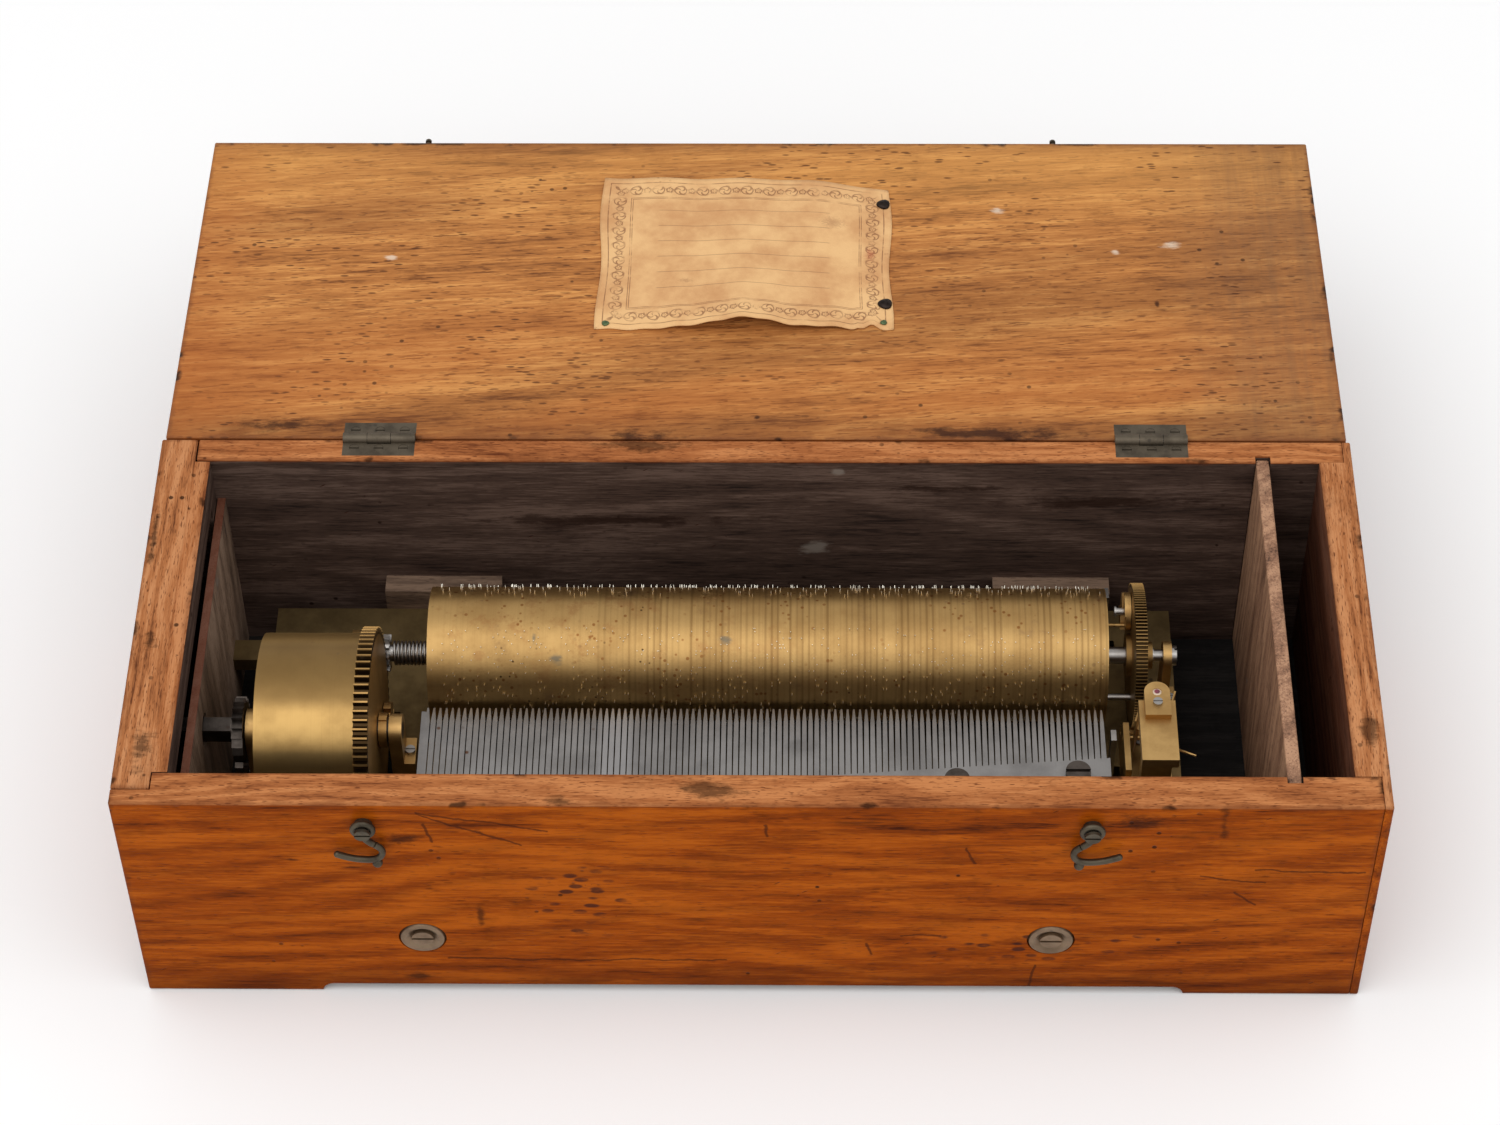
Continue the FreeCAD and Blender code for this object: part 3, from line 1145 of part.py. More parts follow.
# ---- sliders that reach from the left compartment to the wheels ----
for word, stop_x, rise, flag in (("stop", "great_left - 6.9", "bed_top + 20", "1.6"),
                                 ("change", "great_left - 6.9", "bed_top + 26", "1.4")):
    y = f"{word}_y"
    piece(f"{word}_slider", fuse(f"{word}_slider_bar", [
        box(f"{word}_bar", ("partition_left - 3.0", f"{stop_x} + {flag}"), (f"{y} - 2", f"{y} + 2"),
            ("slider_bottom", "slider_bottom + 3")),
        box(f"{word}_upright", (stop_x, f"{stop_x} + {flag}"), (f"{y} - 2", f"{y} + 2"),
            ("slider_bottom", rise)),
        rod(f"{word}_knob", "x", ("partition_left - 5.5", y, "slider_bottom + 1.5"), "3.0", "3.0"),
    ]))
slider_guides = []
for word in ("stop", "change"):
    for n, x in enumerate(("cylinder_left + 30", "cylinder_right - 24")):
        y = f"{word}_y"
        slider_guides.append(cut(f"{word}_guide_{n}", box(f"{word}_guide_block_{n}", (x, f"{x} + 5"),
                                                          (f"{y} - 4", f"{y} + 4"),
                                                          ("slider_bottom - 1.8", "bed_bottom")),
                                 [box(f"{word}_guide_way_{n}", (f"{x} - 1", f"{x} + 6"),
                                      (f"{y} - 2.3", f"{y} + 2.3"),
                                      ("slider_bottom - 0.3", "slider_bottom + 3.3"))]))
piece("slider_guides", group("slider_guide_set", slider_guides))

# ---- governor ----
rule("cheek_left", "great_left - 2.8")
rule("cheek_right", "great_right + 5.4")
rule("cheek_thick", "1.8")
rule("frame_front", "endless_y - 20.6")
rule("frame_back", "first_y + 3.6")
rule("endless_foot", "bed_top + 6.0")
rule("first_wheel_room", "fine_module * (first_wheel_teeth + 2) / 2 + 0.4")
frame_parts = [
    box("frame_base", ("cheek_left", "cheek_right + 1.8"), ("frame_front", "frame_back"),
        ("bed_top", "bed_top + 1.4")),
    box("frame_pillar", ("endless_x - 4.4", "endless_x + 4.4"), ("frame_front + 3.4", "endless_y - 12.4"),
        ("bed_top + 1", "governor_top - 1")),
    box("frame_top", ("endless_x - 5.4", "endless_x + 5.4"), ("endless_y - 23.6", "endless_y - 1.5"),
        ("governor_top - 3.6", "governor_top")),
    box("frame_step", ("endless_x - 2.0", "endless_x + 2.0"), ("endless_y - 14", "endless_y + 2.0"),
        ("bed_top + 1", "endless_foot")),
    box("cheek_near", ("cheek_left", "cheek_left + cheek_thick"), ("frame_front", "frame_back"),
        ("bed_top", "second_z + 3")),
    box("cheek_far", ("cheek_right", "cheek_right + cheek_thick"), ("frame_front + 6", "frame_back"),
        ("bed_top", "second_z + 3")),
]
frame_cuts = [
    rod("frame_wheel_room", "x", ("great_left - 5",) + axis_at, "20", "first_distance - 2.0"),
    rod("frame_gear_room", "x", ("endless_x + 1.6", "first_y", "first_z"), "2.0", "first_wheel_room"),
    rod("frame_first_bore", "x", ("cheek_left - 1", "first_y", "first_z"), "20",
        "fine_arbor_radius + running_gap"),
    rod("frame_second_bore", "x", ("cheek_left - 1", "second_y", "second_z"), "20",
        "fine_arbor_radius + running_gap"),
    rod("frame_endless_bore", "z", ("endless_x", "endless_y", "endless_foot - 2.2"), "4",
        "endless_arbor_radius + running_gap"),
    rod("frame_cock_hole", "z", ("endless_x", "endless_y - 4.1", "governor_top - 4"), "5", "0.8"),
    box("frame_window", ("cheek_left - 1", "cheek_left + cheek_thick + 0.4"),
        ("frame_front - 1", "endless_y - 7.5"),
        ("bed_top + 6", "second_z + 4")),
    rod("frame_foot_hole_0", "z", ("endless_x - 1.2", "frame_back - 1.8", "bed_top - 1"), "4", "0.9"),
]
piece("governor_frame", cut("governor_frame_cut", fuse("governor_frame_whole", frame_parts), frame_cuts))
cock_width = "3.8"
piece("governor_cock", cut("governor_cock_cut", fuse("governor_cock_whole", [
    box("cock_plate", (f"endless_x - {cock_width}", f"endless_x + {cock_width}"),
        ("endless_y - 8.6", "endless_y"),
        ("governor_top", "governor_top + 2.2")),
    rod("cock_round", "z", ("endless_x", "endless_y", "governor_top"), "2.2", cock_width),
]), [
    rod("cock_pivot_hole", "z", ("endless_x", "endless_y", "governor_top - 1"), "2.0",
        "endless_arbor_radius + running_gap"),
    rod("cock_jewel_seat", "z", ("endless_x", "endless_y", "governor_top + 1.2"), "2", "1.35"),
    rod("cock_screw_hole", "z", ("endless_x", "endless_y - 4.1", "governor_top - 1"), "5", "0.9"),
]))
piece("governor_jewel", fuse("governor_jewel_whole", [
    rod("jewel_disc", "z", ("endless_x", "endless_y", "governor_top + 1.2"), "0.8", "1.35"),
    cone("jewel_dome", "z", ("endless_x", "endless_y", "governor_top + 2.0"), "0.35", "1.35", "0.8"),
]))
movement_screws += [
    screw("cock_screw", "z", ("endless_x", "endless_y - 4.1", "governor_top + 2.2"), "5.4", "0.8", "1.4",
          "0.9",
          slot=0.45, facing=1),
    screw("frame_screw", "z", ("endless_x - 1.2", "frame_back - 1.8", "bed_top + 1.4"), "1.4", "0.9", "1.4",
          "0.7", slot=0.45, facing=1),
]
piece("movement_screws", group("movement_screw_set", movement_screws))
mesh_turn = "-90 + train_angle + 180"
first_pinion = toothed("first_pinion_body", "first_leaves", "great_module", "great_width - 0.2", "0.5",
                       ("great_left + 0.1", "first_y", "first_z"), mesh_turn + " + 180 / first_leaves",
                       gap_share=0.7)
train_turn = "-90 + atan2(second_z - first_z; second_y - first_y) / (1 deg)"
first_gear = toothed("first_gear_body", "first_wheel_teeth", "fine_module", "0.9", "0.5",
                     ("endless_x + 2.1", "first_y", "first_z"), train_turn)
piece("first_governor_wheel", fuse("first_governor_whole", [
    first_pinion, first_gear,
    rod("first_arbor", "x", ("cheek_left + 0.2", "first_y", "first_z"), "cheek_right - cheek_left + 1.4",
        "fine_arbor_radius"),
    rod("first_collar", "x", ("great_right + 0.6", "first_y", "first_z"),
        "endless_x + 2.2 - (great_right + 0.6)", "1.3"),
]))
second_pinion = toothed("second_pinion_body", "second_leaves", "fine_module", "1.6", "0.5",
                        ("endless_x + 1.8", "second_y", "second_z"),
                        train_turn + " + 180 + 180 / second_leaves",
                        gap_share=0.62)
second_gear = toothed("second_gear_body", "second_wheel_teeth", "fine_module", "1.3", "0.5",
                      ("endless_x - 0.65", "second_y", "second_z"), "90", gap_share=0.64)
piece("second_governor_wheel", fuse("second_governor_whole", [
    second_pinion, second_gear,
    rod("second_arbor", "x", ("cheek_left + 0.2", "second_y", "second_z"),
        "cheek_right - cheek_left + 1.4", "fine_arbor_radius"),
]))


def endless():
    """A single-start endless screw on a thin arbor that runs from the foot to the jewel."""
    centre = vector("endless_x", "endless_y", "second_z")
    pitch = math.pi * value("fine_module")
    tip = value("endless_radius + fine_module * 0.9")
    root = value("endless_radius - fine_module * 1.2")
    turns = 9
    low = centre - FreeCAD.Vector(0, 0, pitch * turns / 2)
    helix = Part.makeHelix(pitch, pitch * turns, root)
    flank, crest = pitch * 0.26, pitch * 0.10
    section = Part.makePolygon([
        FreeCAD.Vector(root - 0.15, 0, -flank), FreeCAD.Vector(tip, 0, -crest),
        FreeCAD.Vector(tip, 0, crest),
        FreeCAD.Vector(root - 0.15, 0, flank), FreeCAD.Vector(root - 0.15, 0, -flank)])
    thread = Part.Wire(helix.Edges).makePipeShell([section], True, True)
    thread.rotate(FreeCAD.Vector(), FreeCAD.Vector(0, 0, 1), -90)
    thread.translate(low)
    core = Part.makeCylinder(root, pitch * (turns + 2), low - FreeCAD.Vector(0, 0, pitch))
    foot = value("endless_foot - 2.0")
    arbor = Part.makeCylinder(value("endless_arbor_radius"), value("governor_top + 0.9") - foot,
                              FreeCAD.Vector(centre.x, centre.y, foot))
    return core.fuse([thread, arbor])


def fly():
    """Two brass blades bent from the ends of a flat arm."""
    centre = vector("endless_x", "endless_y", "governor_top - 3.6 - 1.0 - fly_height")
    arm, blade, tall = value("fly_arm"), value("fly_blade"), value("fly_height")
    parts = [Part.makeBox(2 * arm, 1.8, 0.6, centre + FreeCAD.Vector(-arm, -0.9, tall / 2)),
             Part.makeCylinder(1.5, 3.2, centre + FreeCAD.Vector(0, 0, tall / 2 - 1.3))]
    for side in (-1, 1):
        wing = Part.makeBox(0.5, blade, tall, centre + FreeCAD.Vector(side * arm - 0.25, -blade / 2, 0))
        wing.rotate(centre + FreeCAD.Vector(side * arm, 0, 0), FreeCAD.Vector(0, 0, 1), -45)
        parts.append(wing)
    shape = parts[0].fuse(parts[1:]).removeSplitter()
    shape = shape.cut(Part.makeCylinder(value("endless_arbor_radius"), 40, centre - FreeCAD.Vector(0, 0, 5)))
    shape.rotate(centre, FreeCAD.Vector(0, 0, 1), 28)
    return shape


piece("endless_screw", plain("endless_screw_turned", endless()))
piece("fly", plain("fly_blades", fly()))

# ---- checks and export ----
doc.recompute()
failed = [thing.Name for thing in doc.Objects if {"Invalid", "Error"} & set(thing.State)]
bad_shapes = [made.Label for made in pieces
              if made.Shape.isNull() or not made.Shape.isValid() or not made.Shape.Solids]
if failed or bad_shapes:
    raise RuntimeError(f"objects failed: {failed}; shapes failed: {bad_shapes}")
os.makedirs("parts", exist_ok=True)
for made in pieces:
    made.Shape.exportStep(f"parts/{made.Label}.step")
    print(made.Label, len(made.Shape.Solids), round(made.Shape.Volume, 1))
print(len(pieces), "parts")
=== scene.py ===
import bmesh
import bpy
import math
import random
from mathutils import Matrix, Vector


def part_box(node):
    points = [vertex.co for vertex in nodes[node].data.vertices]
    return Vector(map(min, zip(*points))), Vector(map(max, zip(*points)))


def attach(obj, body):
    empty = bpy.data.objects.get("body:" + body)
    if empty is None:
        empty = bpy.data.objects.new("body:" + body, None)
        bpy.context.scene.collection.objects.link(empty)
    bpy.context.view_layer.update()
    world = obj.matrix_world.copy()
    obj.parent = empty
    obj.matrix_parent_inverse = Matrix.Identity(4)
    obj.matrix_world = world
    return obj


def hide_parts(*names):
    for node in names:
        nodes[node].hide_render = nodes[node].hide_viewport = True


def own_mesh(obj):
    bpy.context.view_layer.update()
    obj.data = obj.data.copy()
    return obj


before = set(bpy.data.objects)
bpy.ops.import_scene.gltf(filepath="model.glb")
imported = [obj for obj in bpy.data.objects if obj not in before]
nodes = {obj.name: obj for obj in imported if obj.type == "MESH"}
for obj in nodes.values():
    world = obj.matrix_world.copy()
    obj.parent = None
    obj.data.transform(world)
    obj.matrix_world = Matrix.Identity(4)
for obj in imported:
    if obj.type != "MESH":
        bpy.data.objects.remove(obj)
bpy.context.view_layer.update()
print("frame loaded,", len(nodes), "nodes")


# small helpers for node trees
def tint(red, green, blue):
    parts = []
    for part in (red, green, blue):
        share = part / 255
        parts.append(share / 12.92 if share <= 0.04045 else ((share + 0.055) / 1.055) ** 2.4)
    return (*parts, 1.0)


def put(tree, socket, value):
    if isinstance(value, bpy.types.NodeSocket):
        tree.links.new(value, socket)
    else:
        socket.default_value = value


def calc(tree, operation, *values, clamp=False):
    made = tree.nodes.new("ShaderNodeMath")
    made.operation = operation
    made.use_clamp = clamp
    for socket, value in zip(made.inputs, values):
        put(tree, socket, value)
    return made.outputs[0]


def vectorCalc(tree, operation, first, second):
    made = tree.nodes.new("ShaderNodeVectorMath")
    made.operation = operation
    put(tree, made.inputs[0], first)
    put(tree, made.inputs[1], second)
    single = operation in ("LENGTH", "DISTANCE", "DOT_PRODUCT")
    return made.outputs["Value"] if single else made.outputs["Vector"]


def split(tree, vector):
    made = tree.nodes.new("ShaderNodeSeparateXYZ")
    put(tree, made.inputs[0], vector)
    return made.outputs[0], made.outputs[1], made.outputs[2]


def joined(tree, x, y, z):
    made = tree.nodes.new("ShaderNodeCombineXYZ")
    for socket, value in zip(made.inputs, (x, y, z)):
        put(tree, socket, value)
    return made.outputs[0]


def ease(tree, value, low, high, first=0.0, last=1.0):
    made = tree.nodes.new("ShaderNodeMapRange")
    made.interpolation_type = "SMOOTHSTEP"
    for socket, given in zip(made.inputs, (value, low, high, first, last)):
        put(tree, socket, given)
    return made.outputs[0]


def noise(tree, vector, scale, detail=3.0, rough=0.5):
    made = tree.nodes.new("ShaderNodeTexNoise")
    put(tree, made.inputs["Vector"], vector)
    put(tree, made.inputs["Scale"], scale)
    made.inputs["Detail"].default_value = detail
    made.inputs["Roughness"].default_value = rough
    return made.outputs[0]


def cells(tree, vector, scale):
    made = tree.nodes.new("ShaderNodeTexVoronoi")
    put(tree, made.inputs["Vector"], vector)
    put(tree, made.inputs["Scale"], scale)
    return made.outputs["Distance"]


def turned(tree, vector, x=0.0, y=0.0, z=0.0):
    made = tree.nodes.new("ShaderNodeMapping")
    put(tree, made.inputs["Vector"], vector)
    made.inputs["Rotation"].default_value = (x, y, z)
    return made.outputs[0]


def blend(tree, share, first, second, kind="MIX"):
    made = tree.nodes.new("ShaderNodeMix")
    made.data_type = "RGBA"
    made.blend_type = kind
    put(tree, made.inputs[0], share)
    put(tree, made.inputs[6], first)
    put(tree, made.inputs[7], second)
    return made.outputs[2]


def times(tree, first, second, clamp=False):
    return calc(tree, "MULTIPLY", first, second, clamp=clamp)


def stretched(tree, vector, scale):
    return vectorCalc(tree, "MULTIPLY", vector, scale)


def painted(tree, color, mask, strength, paintColor):
    return blend(tree, times(tree, mask, strength), color, paintColor)


def newGroup(name, takes, gives):
    group = bpy.data.node_groups.new(name, "ShaderNodeTree")
    for label, kind, value in takes:
        socket = group.interface.new_socket(label, in_out="INPUT", socket_type="NodeSocket" + kind)
        if value is not None:
            socket.default_value = value
    for label, kind in gives:
        group.interface.new_socket(label, in_out="OUTPUT", socket_type="NodeSocket" + kind)
    start = group.nodes.new("NodeGroupInput")
    end = group.nodes.new("NodeGroupOutput")
    return group, start.outputs, end.inputs


def useGroup(tree, group, **values):
    made = tree.nodes.new("ShaderNodeGroup")
    made.node_tree = group
    for label, value in values.items():
        put(tree, made.inputs[label], value)
    return made.outputs


def newMaterial(name):
    material = bpy.data.materials.new(name)
    material.use_nodes = True
    tree = material.node_tree
    place = tree.nodes.new("ShaderNodeTexCoord").outputs["Object"]
    return material, tree, tree.nodes["Principled BSDF"], place


# shared effects
woodGrain, start, end = newGroup(
    "woodGrain",
    [("Vector", "Vector", None), ("Light", "Color", tint(200, 140, 90)), ("Mid", "Color", tint(160, 100, 60)),
     ("Dark", "Color", tint(90, 50, 30)), ("Figure", "Float", 0.12), ("Flecks", "Float", 0.5)],
    [("Color", "Color"), ("Height", "Float"), ("Pores", "Float")],
)
warp = noise(woodGrain, stretched(woodGrain, start["Vector"], (4, 20, 20)), 1.0, 2.0)
axes = split(woodGrain, start["Vector"])
across = calc(woodGrain, "ADD", axes[1], times(woodGrain, axes[2], 0.8))
wave = calc(woodGrain, "ADD", times(woodGrain, across, 620.0), times(woodGrain, warp, 60.0))
rings = calc(woodGrain, "MULTIPLY_ADD", calc(woodGrain, "SINE", wave), 0.5, 0.5)  # growth rings
broad = noise(woodGrain, stretched(woodGrain, start["Vector"], (11, 90, 90)), 1.0, 7.0, 0.72)
fibre = noise(woodGrain, stretched(woodGrain, start["Vector"], (75, 1100, 1100)), 1.0, 3.0, 0.75)
poreNoise = noise(woodGrain, stretched(woodGrain, start["Vector"], (240, 1900, 1900)), 1.0, 1.0)
pores = ease(woodGrain, poreNoise, 0.60, 0.70)  # fine open pores
tone = calc(woodGrain, "MULTIPLY_ADD", rings, start["Figure"], times(woodGrain, broad, 0.60))
tone = calc(woodGrain, "MULTIPLY_ADD", fibre, 0.48, tone)
darkToMid = blend(woodGrain, ease(woodGrain, tone, 0.38, 0.56), start["Dark"], start["Mid"])
body = blend(woodGrain, ease(woodGrain, tone, 0.54, 0.70), darkToMid, start["Light"])
shade = times(woodGrain, pores, start["Flecks"])
body = blend(woodGrain, shade, body, start["Dark"])
dashCells = cells(woodGrain, stretched(woodGrain, start["Vector"], (110, 520, 520)), 1.0)
dashes = ease(woodGrain, dashCells, 0.20, 0.12)  # short dark dashes, in drifts
dashes = times(woodGrain, dashes, ease(woodGrain, noise(woodGrain, start["Vector"], 19.0, 4.0), 0.47, 0.60))
put(woodGrain, end["Color"], painted(woodGrain, body, dashes, start["Flecks"], start["Dark"]))
height = calc(woodGrain, "SUBTRACT", times(woodGrain, fibre, 0.5), times(woodGrain, pores, 0.6))
put(woodGrain, end["Height"], height)
put(woodGrain, end["Pores"], pores)

wearMarks, start, end = newGroup(
    "wearMarks",
    [("Vector", "Vector", None), ("Amount", "Float", 1.0)],
    [("Scratches", "Float"), ("Dents", "Float"), ("Grime", "Float"), ("Height", "Float")],
)
marks = []
scratchSets = (  # tilt, stretch and width of each set
    ((0.2, 0.5, 0.3), (9, 260, 260), 0.07),
    ((-0.4, -0.25, -0.5), (14, 330, 330), 0.06),
    ((0.1, 1.2, 0.9), (16, 300, 300), 0.05),
)
for tilt, stretchBy, width in scratchSets:
    slanted = turned(wearMarks, start["Vector"], *tilt)
    found = cells(wearMarks, stretched(wearMarks, slanted, stretchBy), 1.0)
    marks.append(ease(wearMarks, found, width, width * 0.4))
scratches = calc(wearMarks, "MAXIMUM", calc(wearMarks, "MAXIMUM", marks[0], marks[1]), marks[2])
patchy = ease(wearMarks, noise(wearMarks, start["Vector"], 22.0, 2.0), 0.42, 0.62)
scratches = times(wearMarks, times(wearMarks, scratches, patchy), start["Amount"], clamp=True)
specks = ease(wearMarks, cells(wearMarks, start["Vector"], 190.0), 0.17, 0.09)
shifted = vectorCalc(wearMarks, "ADD", start["Vector"], (3.1, 1.7, 0.4))
cluster = ease(wearMarks, noise(wearMarks, shifted, 30.0, 3.0), 0.53, 0.66)
dents = times(wearMarks, times(wearMarks, specks, cluster), start["Amount"], clamp=True)
grime = ease(wearMarks, noise(wearMarks, start["Vector"], 60.0, 8.0, 0.74), 0.52, 0.68)
put(wearMarks, end["Scratches"], scratches)
put(wearMarks, end["Dents"], dents)
put(wearMarks, end["Grime"], times(wearMarks, grime, start["Amount"], clamp=True))
put(wearMarks, end["Height"], times(wearMarks, calc(wearMarks, "ADD", scratches, dents), -1.0))

edgeWear, start, end = newGroup(
    "edgeWear",
    [("Vector", "Vector", None), ("Low", "Vector", None), ("High", "Vector", None),
     ("Width", "Float", 0.002)],
    [("Edge", "Float"), ("Chips", "Float")],
)
nearSide = vectorCalc(edgeWear, "MINIMUM", vectorCalc(edgeWear, "SUBTRACT", start["Vector"], start["Low"]),
                      vectorCalc(edgeWear, "SUBTRACT", start["High"], start["Vector"]))
near = split(edgeWear, nearSide)
inner = calc(edgeWear, "MINIMUM", calc(edgeWear, "MAXIMUM", near[0], near[1]), near[2])
middle = calc(edgeWear, "MAXIMUM", calc(edgeWear, "MINIMUM", near[0], near[1]), inner)
ragged = calc(edgeWear, "SUBTRACT", noise(edgeWear, start["Vector"], 170.0, 4.0, 0.6), 0.5)
reach = calc(edgeWear, "MULTIPLY_ADD", ragged, times(edgeWear, start["Width"], 2.4), middle)
put(edgeWear, end["Edge"], ease(edgeWear, reach, start["Width"], 0.0))
bites = ease(edgeWear, noise(edgeWear, start["Vector"], 75.0, 3.0, 0.55), 0.60, 0.66)
biteReach = ease(edgeWear, reach, times(edgeWear, start["Width"], 1.4), 0.0)
put(edgeWear, end["Chips"], times(edgeWear, bites, biteReach))

blot, start, end = newGroup(
    "blot",
    [("Vector", "Vector", None), ("Centre", "Vector", None), ("Size", "Vector", (0.01, 0.01, 0.01)),
     ("Ragged", "Float", 1.3), ("Detail", "Float", 210.0)],
    [("Mask", "Float")],
)
offset = vectorCalc(blot, "SUBTRACT", start["Vector"], start["Centre"])
offset = vectorCalc(blot, "DIVIDE", offset, start["Size"])
far = vectorCalc(blot, "LENGTH", offset, (0, 0, 0))
stringy = stretched(blot, start["Vector"], (0.45, 1.0, 1.0))
shake = calc(blot, "SUBTRACT", noise(blot, stringy, start["Detail"], 5.0, 0.68), 0.44)
far = calc(blot, "MULTIPLY_ADD", shake, times(blot, start["Ragged"], 2.4), far)
put(blot, end["Mask"], ease(blot, far, 1.15, 0.35))

stroke, start, end = newGroup(
    "stroke",
    [("Vector", "Vector", None), ("From", "Vector", None), ("Span", "Vector", None),
     ("Width", "Float", 0.0005)],
    [("Mask", "Float")],
)
reach = vectorCalc(stroke, "SUBTRACT", start["Vector"], start["From"])
share = calc(stroke, "DIVIDE", vectorCalc(stroke, "DOT_PRODUCT", reach, start["Span"]),
             vectorCalc(stroke, "DOT_PRODUCT", start["Span"], start["Span"]), clamp=True)
away = vectorCalc(stroke, "DISTANCE", reach, stretched(stroke, start["Span"], share))
put(stroke, end["Mask"], ease(stroke, away, start["Width"], times(stroke, start["Width"], 0.3)))

roomMask, start, end = newGroup(
    "roomMask",
    [("Vector", "Vector", None), ("Low", "Vector", None), ("High", "Vector", None)],
    [("Inside", "Float")],
)
aboveLow = vectorCalc(roomMask, "SUBTRACT", start["Vector"], start["Low"])
belowHigh = vectorCalc(roomMask, "SUBTRACT", start["High"], start["Vector"])
sides = split(roomMask, vectorCalc(roomMask, "MINIMUM", aboveLow, belowHigh))
least = calc(roomMask, "MINIMUM", calc(roomMask, "MINIMUM", sides[0], sides[1]), sides[2])
put(roomMask, end["Inside"], ease(roomMask, least, -0.0001, 0.0002))

metalAge, start, end = newGroup(
    "metalAge",
    [("Vector", "Vector", None), ("Coarse", "Float", 70.0), ("Fine", "Float", 420.0),
     ("Spotted", "Float", 0.5)],
    [("Mottle", "Float"), ("Spots", "Float"), ("Speckle", "Float")],
)
put(metalAge, end["Mottle"], noise(metalAge, start["Vector"], start["Coarse"], 5.0, 0.6))
put(metalAge, end["Speckle"], noise(metalAge, start["Vector"], times(metalAge, start["Fine"], 4.0), 2.0))
dots = ease(metalAge, cells(metalAge, start["Vector"], start["Fine"]), 0.30, 0.12)
where = ease(metalAge, noise(metalAge, start["Vector"], 55.0, 3.0), calc(
    metalAge, "SUBTRACT", 0.72, times(metalAge, start["Spotted"], 0.3)), 0.78)
put(metalAge, end["Spots"], times(metalAge, dots, where))

turnLines, start, end = newGroup(
    "turnLines",
    [("Along", "Float", 0.0), ("Pitch", "Float", 2600.0)],
    [("Lines", "Float"), ("Bands", "Float")],
)
flat = joined(turnLines, start["Along"], 0.0, 0.0)
put(turnLines, end["Lines"], noise(turnLines, flat, start["Pitch"], 3.0, 0.7))
put(turnLines, end["Bands"], noise(turnLines, flat, times(turnLines, start["Pitch"], 0.08), 3.0, 0.6))

relief, start, end = newGroup(
    "relief",
    [("Height", "Float", 0.0), ("Depth", "Float", 0.0002), ("Strength", "Float", 0.6)],
    [("Normal", "Vector")],
)
bump = relief.nodes.new("ShaderNodeBump")
put(relief, bump.inputs["Strength"], start["Strength"])
put(relief, bump.inputs["Distance"], start["Depth"])
put(relief, bump.inputs["Height"], start["Height"])
put(relief, end["Normal"], bump.outputs[0])
print("effect groups made")


def bumped(tree, shader, height, depth, strength):
    normal = useGroup(tree, relief, Height=height, Depth=depth, Strength=strength)["Normal"]
    put(tree, shader.inputs["Normal"], normal)


def blots(tree, place, color, spots, paintColor, strength):
    for centre, size in spots:
        mask = useGroup(tree, blot, Vector=place, Centre=centre, Size=size)["Mask"]
        color = painted(tree, color, mask, strength, paintColor)
    return color


def strokes(tree, place, color, lines, paintColor, strength):
    for first, last, width in lines:
        span = Vector(last) - Vector(first)
        mask = useGroup(tree, stroke, Vector=place, From=first, Span=span, Width=width)["Mask"]
        color = painted(tree, color, mask, strength, paintColor)
    return color


# case boards: varnished outside, bare on the rim, dark inside
caseLook = {
    "light": tint(172, 86, 16),
    "mid": tint(140, 62, 7),
    "dark": tint(66, 25, 6),
    "rimLight": tint(190, 124, 76),
    "rimMid": tint(162, 98, 56),
    "rimDark": tint(98, 50, 28),
    "endLight": tint(192, 132, 88),
    "endMid": tint(168, 106, 64),
    "endDark": tint(92, 50, 30),
    "roomLight": tint(106, 86, 76),
    "roomMid": tint(77, 60, 52),
    "roomDark": tint(40, 31, 28),
    "figure": 0.2,
    "figureTilt": 0.2,  # radians
    "grime": tint(34, 18, 11),
    "scratch": tint(58, 26, 12),
    "gloss": 0.33,
}
roomLow = (-0.1694, -0.0675, 0.0)  # reaches into the divider's grooves
roomHigh = (0.1711, 0.0675, 0.0919)


